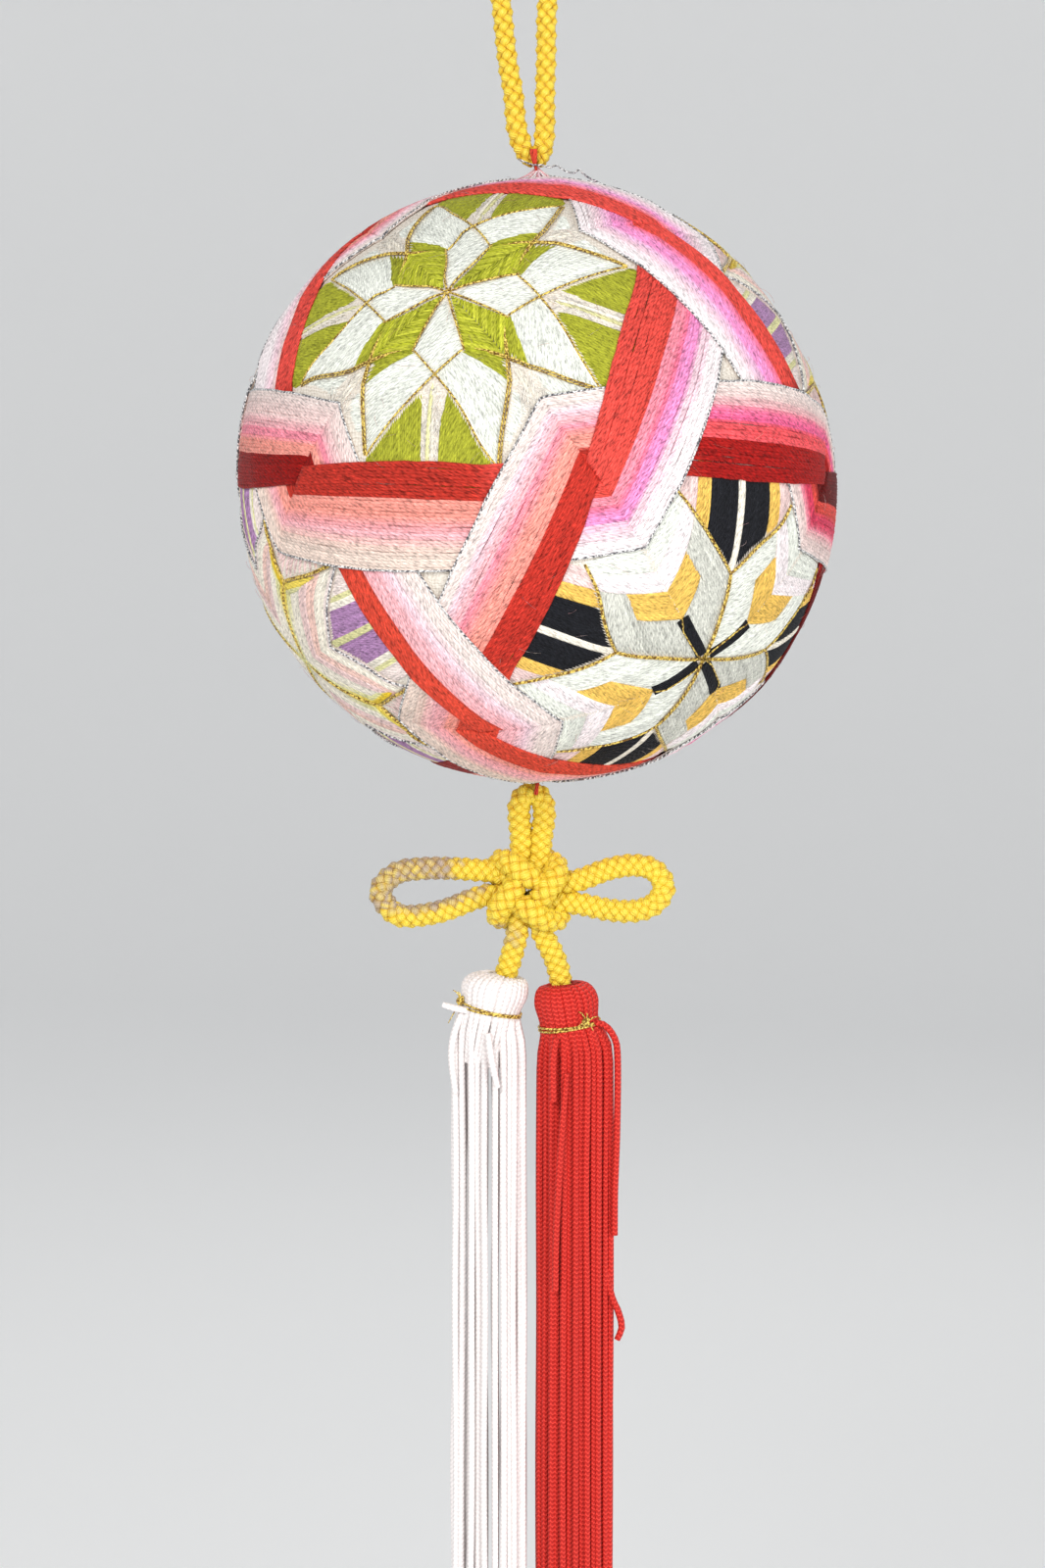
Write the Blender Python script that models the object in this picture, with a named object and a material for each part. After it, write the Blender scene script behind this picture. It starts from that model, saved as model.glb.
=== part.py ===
"""Temari ball hung on a braided loop, with a clover knot and two tassels below.

Metres, +Z up, +Y away from the viewer. The origin is the point inside the top of
the hanging loop where a hook carries it. Sizes, tables and routes are in millimetres.
Routes give x and z from a point on the hanging line near the ball's centre.
"""
import math

import bmesh
import bpy
from mathutils import Matrix, Vector

MM = 0.001

# Ball
HANG = 149.6                       # hook point to the height that the tables count from, mm
BALL_CENTRE = (-0.3, -0.3)         # ball centre, x and z, mm
FACE_RADIUS = 74.8                 # ball radius in the middle of a stitched face, mm
BAND_RISE = 0.3                    # what one layer of band adds to the radius, mm
OUT_OF_ROUND = 0.7                 # the wound ball is longer along one line by this, mm
LONG_LINE = 58.0                   # that line's slope down to the right, degrees
BAND_WIDTH = 16.5                  # a band from its inner to its outer round, degrees
BAND_INNER = 45.0                  # corner of the innermost round from its face centre, degrees
SIDE_BOW = 2.8                     # how far a side bows out past a great circle, degrees
BAND_EDGE = 1.2                    # width of the slope at a band's edge, degrees
FACE_TILT = math.degrees(math.atan(math.sqrt(0.5)))   # a face's height above the equator
FACE_TURN = -20.1                  # azimuth of the green face, degrees to the right of the viewer
BALL_GRID = 20                     # grid squares along each side of a face

# Braided cords
LOOP_CORD = 4.8                    # hanging loop's cord diameter, mm
KNOT_CORD = 5.4                    # knot's cord diameter, mm
LOOP_SIDES = 2                     # bevel resolution, eight sides
KNOT_SIDES = 8
KNOT_CENTRE = (-2.1, -102.9)       # small hole in the knot's middle, x and z, mm
KNOT_STEP = 2.2                    # distance between rings along the knot's cord, mm

# Tassels
STRAND = 2.2                       # strand diameter, mm
SKIRT_END = -331.0                 # height of the strand ends, mm
TIE = 1.3                          # diameter of the gold tie, mm
TIE_RING = 8.3                     # radius of the tie's middle line round the neck, mm

# Hanging loop, from its left foot over the hook to its right foot. x and z are in
# millimetres, and thickness is a share of the cord's diameter.
LOOP_ROUTE = (
    # x, z, thickness
    (-1.75, 76.1, 0.62),
    (-1.9, 78.2, 0.66),
    (-3.4, 82.6, 0.95),
    (-5.0, 87.2, 1.0),
    (-7.1, 102.6, 1.0),
    (-8.7, 117.6, 1.0),
    (-10.4, 130.0, 1.0),
    (-9.7, 140.6, 1.0),
    (-5.7, 149.0, 1.0),
    (0.0, 152.0, 1.0),
    (5.7, 149.0, 1.0),
    (9.0, 140.6, 1.0),
    (7.6, 130.0, 1.0),
    (3.9, 122.5, 1.0),
    (2.6, 115.0, 1.0),
    (2.4, 102.6, 1.0),
    (2.2, 87.2, 1.0),
    (2.1, 82.6, 0.95),
    (1.7, 78.2, 0.66),
    (1.6, 76.1, 0.62),
)

# Knot routes, in the plane of the knot from the middle of its hole: right, up, back.
TOP_EAR = (
    (-2.6, 3.4, 0.0), (-2.5, 5.5, 0.0), (-2.0, 9.0, 0.0), (-1.7, 12.4, 0.0),
    (-1.9, 17.8, 0.0), (-2.0, 20.6, 0.0), (-1.0, 22.9, 0.0), (1.0, 23.8, 0.0),
    (3.0, 22.9, 0.0), (4.0, 20.6, 0.0), (4.0, 17.8, 0.0), (3.8, 13.0, 0.0),
    (3.3, 9.0, 0.0), (2.7, 5.5, 0.0), (2.6, 3.4, 0.0),
)
LEFT_EAR = (
    (-3.4, 2.7, 0.0), (-5.5, 3.2, 0.0), (-8.5, 4.6, 0.0), (-12.9, 5.1, -0.3),
    (-19.0, 5.5, -0.6), (-26.0, 5.5, -0.8), (-32.8, 4.4, -0.9), (-37.0, -0.2, -0.9),
    (-34.0, -5.3, -0.8), (-30.0, -6.6, -0.6), (-21.6, -5.3, -0.4), (-12.9, -2.0, -0.2),
    (-8.5, -1.1, 0.0), (-5.5, -2.2, 0.0), (-3.4, -2.6, 0.0),
)
RIGHT_EAR = (
    (3.4, 2.7, 0.0), (5.5, 2.5, 0.0), (8.5, 1.9, 0.0), (11.9, 2.2, 0.3),
    (16.0, 3.6, 0.5), (20.2, 5.2, 0.6), (26.0, 6.2, 0.7), (31.4, 5.2, 0.7),
    (34.3, 0.9, 0.7), (32.0, -3.4, 0.6), (27.2, -5.3, 0.5), (20.7, -5.1, 0.4),
    (14.1, -3.7, 0.2), (9.0, -3.0, 0.0), (5.5, -2.7, 0.0), (3.4, -2.6, 0.0),
)
LEFT_TAIL = (
    (-2.6, -3.4, 0.0), (-2.5, -5.5, 0.0), (-2.4, -9.5, 0.0), (-3.9, -16.2, 0.0),
    (-5.1, -20.0, 0.0), (-5.7, -22.1, 0.0),
)
RIGHT_TAIL = (
    (2.6, -3.4, 0.0), (2.8, -5.5, 0.0), (3.6, -10.5, 0.0), (6.6, -16.7, 0.0),
    (7.9, -20.8, 0.0), (8.5, -24.4, 0.0),
)

# A corner strand comes from behind one side of the knot, rounds its corner and crosses
# in front of the next side. This is the front half, and the back half is its reflection.
CORNER_FRONT = (
    # right, up, back, thickness
    (-3.9, 7.0, -3.9, 0.98),
    (0.0, 4.7, -4.9, 0.96),
    (2.7, 3.2, -2.9, 0.9),
    (5.0, 2.6, -0.5, 0.7),
)
CORNER_TIPS = (
    # right, up: the outermost point of each strand, clockwise from the upper left
    (-6.7, 7.4),
    (6.9, 6.5),
    (7.7, -7.1),
    (-7.3, -6.8),
)

# Tassels. x and z place the neck, lean tips the head clockwise,
# skirt is the x of the hanging strands' middle, and pit moves the cord's dent sideways.
TASSELS = {
    "white_tassel": {"x": -11.8, "z": -133.0, "lean": 12.0, "skirt": -12.1, "pit": 2.2,
                     "grow": 1.0, "seed": 0.4},
    "red_tassel": {"x": 8.4, "z": -136.9, "lean": -8.0, "skirt": 9.8, "pit": -0.8,
                   "grow": 1.06, "seed": 2.1},
}
HEAD_RINGS = (
    # radius, height above the neck, share of the pit's sideways move
    (6.9, -3.0, 0.0),
    (7.3, -1.6, 0.0),
    (7.3, 1.5, 0.0),
    (8.2, 3.4, 0.0),
    (8.5, 5.4, 0.0),
    (7.8, 7.8, 0.1),
    (6.3, 9.4, 0.4),
    (4.6, 10.1, 0.8),
    (3.5, 9.5, 1.0),
    (3.1, 8.0, 1.0),
)
HEAD_SEGMENTS = 24
STRAND_RINGS = (
    # number of strands, radius of their ring in the skirt
    (20, 8.6),
    (11, 5.3),
    (5, 2.1),
)
ROOT_INSET = 0.72                  # a root's distance from the axis, as a share of its ring
ROOT_THICK = 0.6                   # a root's thickness, as a share of the strand's
STRAND_DROPS = (
    # drop below the neck, mm, and how far the strand has opened out
    (1.2, 0.0),
    (6.5, 0.72),
    (15.0, 1.0),
    (60.0, 1.0),
    (125.0, 1.0),
)

COLOURS = {
    # red, green, blue, roughness, metallic
    "ball": (0.80, 0.62, 0.55, 0.75, 0.0),
    "hanging_loop": (0.86, 0.62, 0.07, 0.6, 0.0),
    "knot": (0.86, 0.62, 0.07, 0.6, 0.0),
    "white_tassel": (0.86, 0.83, 0.80, 0.6, 0.0),
    "red_tassel": (0.60, 0.03, 0.03, 0.6, 0.0),
    "white_tassel_tie": (0.75, 0.55, 0.18, 0.35, 0.9),
    "red_tassel_tie": (0.75, 0.55, 0.18, 0.35, 0.9),
}


def clear_scene():
    for obj in list(bpy.data.objects):
        bpy.data.objects.remove(obj, do_unlink=True)


def place(x, z, y=0.0):
    """A table's point in millimetres, in the part's frame in metres."""
    return Vector((x, y, z - HANG)) * MM


def coloured(name):
    red, green, blue, roughness, metallic = COLOURS[name]
    material = bpy.data.materials.new(name)
    material.use_nodes = True
    shader = material.node_tree.nodes["Principled BSDF"]
    shader.inputs["Base Color"].default_value = (red, green, blue, 1.0)
    shader.inputs["Roughness"].default_value = roughness
    shader.inputs["Metallic"].default_value = metallic
    material.diffuse_color = (red, green, blue, 1.0)
    return material


def add_mesh(name, bm, crease=50.0):
    """Link a finished mesh as one object, shaded smooth but for its sharp edges."""
    bmesh.ops.recalc_face_normals(bm, faces=bm.faces)
    mesh = bpy.data.meshes.new(name)
    bm.to_mesh(mesh)
    bm.free()
    mesh.shade_smooth()
    mesh.set_sharp_from_angle(angle=math.radians(crease))
    obj = bpy.data.objects.new(name, mesh)
    bpy.context.scene.collection.objects.link(obj)
    return obj


def smooth_route(points, step):
    """Even points about a step apart on a smooth curve through the given ones."""
    rows = [tuple(map(float, row)) for row in points]
    first = tuple(2 * a - b for a, b in zip(rows[0], rows[1]))
    last = tuple(2 * a - b for a, b in zip(rows[-1], rows[-2]))
    rows = [first, *rows, last]
    dense = []
    for before, here, there, after in zip(rows, rows[1:], rows[2:], rows[3:]):
        for i in range(12):
            t = i / 12
            dense.append(tuple(
                0.5 * (2 * b + (c - a) * t + (2 * a - 5 * b + 4 * c - d) * t * t
                       + (3 * b - a - 3 * c + d) * t * t * t)
                for a, b, c, d in zip(before, here, there, after)))
    dense.append(rows[-2])
    gaps = [math.dist(p[:3], q[:3]) for p, q in zip(dense, dense[1:])]
    count = max(2, round(sum(gaps) / step))
    spacing = sum(gaps) / count
    route = [dense[0]]
    travelled = 0.0
    for start, end, gap in zip(dense, dense[1:], gaps):
        while len(route) < count and travelled + gap >= len(route) * spacing:
            share = (len(route) * spacing - travelled) / gap
            route.append(tuple(a + (b - a) * share for a, b in zip(start, end)))
        travelled += gap
    route.append(dense[-1])
    return route


def add_tube(bm, centres, radii, sides, turn=0.0):
    """Sweep a round section along the centres, turning it as little as possible."""
    centres = [Vector(c) for c in centres]
    across = None
    rings = []
    for i, centre in enumerate(centres):
        ahead = centres[min(i + 1, len(centres) - 1)]
        behind = centres[max(i - 1, 0)]
        along = (ahead - behind).normalized()
        if across is None:
            across = along.orthogonal().normalized()
        across = (across - along * across.dot(along)).normalized()
        other = along.cross(across)
        ring = []
        for k in range(sides):
            angle = turn + 2 * math.pi * k / sides
            offset = across * math.cos(angle) + other * math.sin(angle)
            ring.append(bm.verts.new(centre + offset * radii[i]))
        rings.append(ring)
    for ring, following in zip(rings, rings[1:]):
        for k in range(sides):
            bm.faces.new((ring[k], ring[(k + 1) % sides],
                          following[(k + 1) % sides], following[k]))
    bm.faces.new(reversed(rings[0]))
    bm.faces.new(rings[-1])


def face_axes():
    """The three lines through opposite face centres: green, black and gold, purple."""
    axes = []
    for step, sign in ((0, 1), (1, -1), (2, 1)):
        turn = math.radians(FACE_TURN + 60 * step)
        tilt = math.radians(FACE_TILT * sign)
        axes.append(Vector((math.cos(tilt) * math.sin(turn),
                            -math.cos(tilt) * math.cos(turn), math.sin(tilt))))
    return axes


def ramp(value, low, high):
    t = min(1.0, max(0.0, (value - low) / (high - low)))
    return t * t * (3 - 2 * t)


def band_offset(direction, face, side, other):
    """Degrees from a face's innermost round to this direction, past its corner line."""
    away = math.acos(max(-1.0, min(1.0, direction.dot(face))))
    turn = math.atan2(direction.dot(other), direction.dot(side))
    from_middle = (turn % (math.pi / 2)) - math.pi / 4
    bowed = away - math.radians(SIDE_BOW) * math.cos(2 * from_middle)
    bowed = min(bowed, math.radians(80))
    if bowed <= 0:
        return -BAND_INNER
    corner = math.atan(math.tan(bowed) * math.cos(from_middle) / math.cos(math.pi / 4))
    return math.degrees(corner) - BAND_INNER


def wound_radius(direction):
    """Radius of the ball under its bands, which is wound a little longer one way."""
    slope = math.radians(LONG_LINE)
    longer = direction.x * math.cos(slope) - direction.z * math.sin(slope)
    shorter = direction.x * math.sin(slope) + direction.z * math.cos(slope)
    return FACE_RADIUS + OUT_OF_ROUND * (longer * longer - shorter * shorter)


def ball_radius(direction, axes):
    """Radius of the stitched ball, higher where its bands run and cross."""
    layers = 0.0
    for i, axis in enumerate(axes):
        for face in (axis, -axis):
            if direction.dot(face) < 0.2:
                continue
            offset = band_offset(direction, face, axes[(i + 1) % 3], axes[(i + 2) % 3])
            layers += (ramp(offset, -BAND_EDGE, BAND_EDGE)
                       * (1 - ramp(offset, BAND_WIDTH - BAND_EDGE, BAND_WIDTH + BAND_EDGE)))
    return wound_radius(direction) + BAND_RISE * min(layers, 2.0)


def build_ball():
    """One wound ball, its grid lined up with the six faces of the stitched pattern."""
    axes = face_axes()
    frame = Matrix((axes[0], axes[1], axes[2])).transposed()
    bm = bmesh.new()
    for axis in range(3):
        for sign in (1, -1):
            grid = {}
            for i in range(BALL_GRID + 1):
                for j in range(BALL_GRID + 1):
                    point = [0.0, 0.0, 0.0]
                    point[axis] = sign
                    point[(axis + 1) % 3] = math.tan(math.pi / 4 * (2 * i / BALL_GRID - 1))
                    point[(axis + 2) % 3] = math.tan(math.pi / 4 * (2 * j / BALL_GRID - 1))
                    direction = (frame @ Vector(point)).normalized()
                    radius = ball_radius(direction, axes)
                    centre = place(*BALL_CENTRE)
                    grid[i, j] = bm.verts.new(centre + direction * (radius * MM))
            for i in range(BALL_GRID):
                for j in range(BALL_GRID):
                    bm.faces.new((grid[i, j], grid[i + 1, j], grid[i + 1, j + 1], grid[i, j + 1]))
    bmesh.ops.remove_doubles(bm, verts=bm.verts, dist=0.00001)
    bmesh.ops.triangulate(bm, faces=bm.faces)
    return add_mesh("ball", bm)


def build_loop():
    """The hanging loop: one cord whose two thinned feet are sewn to the ball's top."""
    rows = [(x, 0.0, z, thickness) for x, z, thickness in LOOP_ROUTE]
    route = smooth_route(rows, LOOP_CORD * 0.8)
    curve = bpy.data.curves.new("hanging_loop", "CURVE")
    curve.dimensions = "3D"
    curve.bevel_depth = LOOP_CORD / 2 * MM
    curve.bevel_resolution = LOOP_SIDES
    curve.use_fill_caps = True
    spline = curve.splines.new("POLY")
    spline.points.add(len(route) - 1)
    for point, (x, y, z, thickness) in zip(spline.points, route):
        point.co = (*place(x, z, y), 1.0)
        point.radius = thickness
    spline.use_smooth = True
    obj = bpy.data.objects.new("hanging_loop", curve)
    bpy.context.scene.collection.objects.link(obj)
    return obj


def knot_point(right, up, back):
    return place(KNOT_CENTRE[0] + right, KNOT_CENTRE[1] + up, back)


def corner_route(corner):
    """The whole corner strand, turned to its own corner of the knot."""
    front = []
    behind = []
    for right, up, back, thickness in CORNER_FRONT:
        far_right, far_up = -up, -right
        for _ in range(corner):
            right, up = up, -right
            far_right, far_up = far_up, -far_right
        front.append((right, up, back, thickness))
        behind.append((far_right, far_up, -back, thickness))
    tip = (*CORNER_TIPS[corner], 0.0, 1.0)
    return [*reversed(behind), tip, *front]


def add_cord(bm, rows):
    """One stretch of the knot's cord through rows of right, up, back and thickness."""
    route = smooth_route(rows, KNOT_STEP)
    centres = [knot_point(*row[:3]) for row in route]
    radii = [row[3] * KNOT_CORD / 2 * MM for row in route]
    add_tube(bm, centres, radii, KNOT_SIDES, turn=math.pi / KNOT_SIDES)


def with_thickness(rows, end_thickness):
    """Full thickness along a stretch, and another at the end that meets a tassel."""
    full = [(*row, 1.0) for row in rows]
    full[-1] = (*rows[-1], end_thickness)
    return full


def build_knot():
    """The clover knot: three ears, two tails and four corner strands fused into one."""
    stretches = [corner_route(corner) for corner in range(4)]
    stretches += [with_thickness(ear, 1.0) for ear in (LEFT_EAR, TOP_EAR, RIGHT_EAR)]
    stretches += [with_thickness(tail, 0.9) for tail in (LEFT_TAIL, RIGHT_TAIL)]
    joined = bpy.data.collections.new("knot_stretches")
    bpy.context.scene.collection.children.link(joined)
    knot = None
    for number, rows in enumerate(stretches):
        bm = bmesh.new()
        add_cord(bm, rows)
        if knot is None:
            knot = add_mesh("knot", bm)
            continue
        stretch = add_mesh(f"stretch_{number}", bm)
        bpy.context.scene.collection.objects.unlink(stretch)
        joined.objects.link(stretch)
        stretch.hide_render = True
        stretch.display_type = "WIRE"
    union = knot.modifiers.new("fuse", "BOOLEAN")
    union.operation = "UNION"
    union.solver = "EXACT"
    union.operand_type = "COLLECTION"
    union.collection = joined
    return knot


def leaning(spec):
    """The neck's place, its axis pointing up out of the head, and the way to its right."""
    lean = math.radians(spec["lean"])
    neck = Vector((spec["x"], 0.0, spec["z"]))
    upward = Vector((math.sin(lean), 0.0, math.cos(lean)))
    rightward = Vector((math.cos(lean), 0.0, -math.sin(lean)))
    return neck, upward, rightward


def build_head(name, spec):
    """The tassel's head, with a waist for the tie and a dent where the cord goes in."""
    neck, upward, rightward = leaning(spec)
    bm = bmesh.new()
    rings = []
    for radius, height, share in HEAD_RINGS:
        height = height * (spec["grow"] if height > 0 else 1.0)
        centre = neck + upward * height + rightward * (spec["pit"] * share)
        ring = []
        for k in range(HEAD_SEGMENTS):
            angle = 2 * math.pi * k / HEAD_SEGMENTS
            spoke = rightward * math.cos(angle) + Vector((0.0, 1.0, 0.0)) * math.sin(angle)
            point = centre + spoke * radius
            ring.append(bm.verts.new(place(point.x, point.z, point.y)))
        rings.append(ring)
    for ring, following in zip(rings, rings[1:]):
        for k in range(HEAD_SEGMENTS):
            following_k = (k + 1) % HEAD_SEGMENTS
            bm.faces.new((ring[k], ring[following_k], following[following_k], following[k]))
    bm.faces.new(reversed(rings[0]))
    bm.faces.new(rings[-1])
    return add_mesh(name, bm, crease=70.0)


def strand_route(spec, ring_radius, angle):
    """A strand from its root in the head, out below the tie, then straight down."""
    neck, upward, rightward = leaning(spec)
    spoke = rightward * math.cos(angle) + Vector((0.0, 1.0, 0.0)) * math.sin(angle)
    root = neck + spoke * (ring_radius * ROOT_INSET)
    rows = []
    for drop, opened in STRAND_DROPS:
        leant = root - upward * drop
        hung_x = spec["skirt"] + ring_radius * math.cos(angle)
        hung_y = ring_radius * math.sin(angle)
        x = leant.x + (hung_x - leant.x) * opened
        y = leant.y + (hung_y - leant.y) * opened
        thickness = ROOT_THICK if opened == 0 else 1.0
        rows.append((x, y, leant.z if opened < 1 else spec["z"] - drop, thickness))
    uneven = 2.5 * math.sin(7 * angle + spec["seed"] + ring_radius)
    rows.append((hung_x, hung_y, SKIRT_END + uneven, 0.9))
    return rows


def build_strands(name, spec):
    bm = bmesh.new()
    for count, ring_radius in STRAND_RINGS:
        for k in range(count):
            angle = 2 * math.pi * k / count + spec["seed"]
            rows = strand_route(spec, ring_radius, angle)
            centres = [place(x, z, y) for x, y, z, _ in rows]
            radii = [thickness * STRAND / 2 * MM for *_, thickness in rows]
            add_tube(bm, centres, radii, 4, turn=angle)
    return add_mesh(f"{name}_strands", bm, crease=80.0)


def build_tassel(name, spec):
    """A head and the strands that hang from it, fused at their roots."""
    head = build_head(name, spec)
    strands = build_strands(name, spec)
    strands.hide_render = True
    strands.display_type = "WIRE"
    union = head.modifiers.new("roots", "BOOLEAN")
    union.operation = "UNION"
    union.solver = "EXACT"
    union.object = strands
    return head


def build_tie(name, spec):
    """A gold thread bound round the neck."""
    neck, _, rightward = leaning(spec)
    count = 24
    curve = bpy.data.curves.new(name, "CURVE")
    curve.dimensions = "3D"
    curve.bevel_depth = TIE / 2 * MM
    curve.bevel_resolution = 2
    spline = curve.splines.new("POLY")
    spline.points.add(count - 1)
    spline.use_cyclic_u = True
    for k, point in enumerate(spline.points):
        angle = 2 * math.pi * k / count
        spoke = rightward * math.cos(angle) + Vector((0.0, 1.0, 0.0)) * math.sin(angle)
        where = neck + spoke * TIE_RING
        point.co = (*place(where.x, where.z, where.y), 1.0)
    obj = bpy.data.objects.new(name, curve)
    bpy.context.scene.collection.objects.link(obj)
    return obj


def main():
    clear_scene()
    pieces = [build_ball(), build_loop(), build_knot()]
    for name, spec in TASSELS.items():
        pieces.append(build_tassel(name, spec))
        pieces.append(build_tie(f"{name}_tie", spec))
    for piece in pieces:
        piece.data.materials.append(coloured(piece.name))


main()
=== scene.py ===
"""Looks of a temari ball: stitched thread, braided cord, a clover knot and two tassels.

Metres, +Z up, +Y away from the viewer, the hook point at the origin. Routes and sizes
are in millimetres from a point on the hanging line near the ball's centre: right, back,
up. Stitch patterns are in degrees from the middle of one of the ball's six faces.
"""
import math

import bpy
import numpy as np
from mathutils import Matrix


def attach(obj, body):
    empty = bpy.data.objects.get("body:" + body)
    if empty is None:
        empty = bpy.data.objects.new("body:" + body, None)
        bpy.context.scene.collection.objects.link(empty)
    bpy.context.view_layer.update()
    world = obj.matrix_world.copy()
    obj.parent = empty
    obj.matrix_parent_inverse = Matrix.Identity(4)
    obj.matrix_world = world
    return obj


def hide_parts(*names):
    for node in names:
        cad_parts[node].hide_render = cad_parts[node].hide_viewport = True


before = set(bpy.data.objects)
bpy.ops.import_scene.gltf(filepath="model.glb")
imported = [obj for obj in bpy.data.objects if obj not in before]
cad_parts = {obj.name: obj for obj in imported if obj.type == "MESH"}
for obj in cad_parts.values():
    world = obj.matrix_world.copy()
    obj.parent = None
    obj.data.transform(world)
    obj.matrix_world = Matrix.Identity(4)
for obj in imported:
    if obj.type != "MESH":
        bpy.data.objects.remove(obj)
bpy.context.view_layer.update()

MM = 0.001
HANG = 149.6                        # hook point to the height that routes count from, mm

# Camera
EYE = (0.0, -0.975, -0.1496)
LOOK_DOWN = 4.47                    # degrees
LOOK_LEFT = 0.2                     # degrees
FOCAL = 89.69                       # on a sensor 36 mm along the picture's height

# Studio, metres
LAMPS = (("key", (-0.5, -1.4, 0.5), 0.55, 16.0), ("fill", (1.0, -1.2, -0.25), 1.1, 13.5),
         ("back", (0.3, 1.3, 0.8), 1.2, 5.0))    # place, size and watts
LAMP_AIM = np.array((0.0, 0.0, -0.18))
FLOOR = -0.62                       # its height

# Ball
BALL_CENTRE = np.array((0.0, 0.0, -1.1))
BALL_SIZE = 75.0                    # about its radius over the stitches, mm
FACE_RADIUS = 74.08                 # of the wound ball under the stitches, mm
OUT_OF_ROUND = 0.7                  # it is longer along one line by this, mm
THREE_SIDED = 0.38                  # and has three faint corners of this height, mm
CROWN = 0.5                         # what the hanging stitch pulls up, mm
CROWN_REACH = 0.004                 # squared distance from the top, of 1 at the radius
# Where the winding stands out or in: degrees clockwise from the top, and mm
LUMPS = ((-15.0, -0.95), (37.0, 0.6), (75.0, 0.4), (168.0, -0.35), (207.0, 0.5),
         (243.0, 0.5), (295.0, 0.5))
LUMP_REACH = 0.024                  # how quickly a lump dies away, of 1 at its middle
LONG_LINE = 58.0                    # slope of the longer line down to the right, degrees
FACE_TILT = math.degrees(math.atan(math.sqrt(0.5)))   # a face above the equator
FACE_TURN = -19.5                   # the green face, degrees to the right of the viewer
NOD = 1.85                          # how far the pattern's front is turned up, degrees
ROLL = -0.3                         # and clockwise, degrees
ROUNDS = 33                         # threads side by side in a band
BAND_WIDTH = 16.5                   # degrees
INNER_BOW = -2.4                    # how far the innermost side bows out, degrees
OUTER_BOW = 0.3                     # the same for the outermost side
THREAD = 0.41                       # embroidery thread's radius, mm
BAND_BASE = -0.1                    # band thread's middle above the wound ball, mm
BAND_LIFT = 0.55                    # what it rises where it crosses over another band, mm
RISE = (-3.2, 0.2)                  # degrees past that band's inner edge where it rises
FALL = (16.2, 19.5)                 # and where it comes down again
EDGE_THREAD = 0.29                  # a silver edge thread's radius, mm
EDGE_LIFT = 0.3                     # and how far it stands above the band, mm
MOTIF_BASE = -0.55                  # the middle of a thread of a face's pattern, mm
PITCH = 0.5                         # degrees from one stitched thread to the next
STITCH_STEP = 2.4                   # degrees between a stitch's points
DYE_VARIES = 0.05                   # spread of a stitched thread's lightness
BAND_DIP = 0.35                     # how far a band thread's ends sink, mm
PULL_REACH = 4.0                    # squared degrees round a mark that follow it most
CORE_LIFT = -0.6                    # the plain ball's surface above the wound radius, mm
FUZZ = 420                          # loose fibres on the ball
CROWN_THREADS = 120

# Cords
LOOP_CORD = 4.8                     # diameters, mm
KNOT_CORD = 5.4
LOOP_LAY = 14.0                     # length of one turn of a braided strand, mm
KNOT_LAY = 10.0
KNOT_CENTRE = (-2.1, -102.9)        # the hole in the knot's middle, right and up, mm

# A braid's measures, of its cord's radius
STRAND_OUT = 0.6                    # a strand's distance from the middle
STRAND_SWING = 0.17                 # and how far it moves out over another and in
STRAND_SIZE = 0.45                  # its radius
PLUMPER = 0.16                      # how much thicker it is outside, of that
CORE_SHARE = 0.74                   # the filling's radius
UNDER_SHADE = (0.2, 0.42, 0.7)      # red, green and blue lost where a strand goes under

# Tassels
STRAND_RADIUS = 0.86                # mm
SKIRT_END = -331.0                  # height of the strands' ends, mm
SKIRT_HALF = 9.6                    # half the skirt's width, mm
NECK_REACH = 6.4                    # how far out its strands go in the neck, mm
TIE_RADIUS = 7.75                   # of the gold thread's way round the neck, mm
TIE_THREAD = 0.3                    # the gold thread's own radius, mm

BACK = np.array((0.0, 1.0, 0.0))
TO_VIEWER = (0.0, -1.0, 0.0)

rng = np.random.default_rng(11)


def linear(red, green, blue):
    """A colour given as a screen shows it, 0 to 255, as the light it stands for."""
    return np.array([(v / 255 / 12.92) if v <= 10 else ((v / 255 + 0.055) / 1.055) ** 2.4
                     for v in (red, green, blue)])


DYES = {name: linear(*shown) for name, shown in {
    "maroon": (148, 20, 16), "claret": (104, 16, 14), "crimson": (171, 27, 24),
    "brick": (187, 52, 40), "red": (198, 54, 42), "vermilion": (218, 74, 54),
    "scarlet": (227, 80, 70), "coral": (250, 95, 101), "cerise": (222, 70, 100),
    "hot_pink": (246, 108, 156), "rose_red": (249, 124, 156), "pink": (249, 150, 168),
    "orchid": (250, 155, 208), "light_orchid": (252, 200, 230), "salmon": (247, 160, 146),
    "blossom": (248, 172, 176), "rose": (248, 186, 192), "blush": (251, 216, 226),
    "peach": (244, 206, 194), "cream": (238, 217, 204), "shell": (240, 210, 206),
    "milk": (244, 228, 222), "white": (252, 241, 242), "petal": (238, 240, 230),
    "grey": (214, 214, 204), "green": (170, 172, 52), "leaf": (194, 196, 62),
    "moss": (168, 172, 44), "ochre": (240, 196, 98), "black": (28, 29, 34),
    "purple": (181, 138, 183), "lime": (230, 226, 168), "straw": (236, 212, 92),
    "ivory": (246, 238, 222), "yellow": (230, 196, 52), "gold": (206, 164, 70),
    "silver": (196, 194, 190), "wrap": (244, 236, 224), "cord": (247, 206, 48),
    "gap_shade_amber": (186, 104, 6), "stain": (176, 148, 108), "white_strand": (245, 238, 236),
    "red_strand": (222, 40, 30),
}.items()}


# ---- Paths and frames

def unit(v):
    return v / np.linalg.norm(v, axis=-1, keepdims=True)


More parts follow.
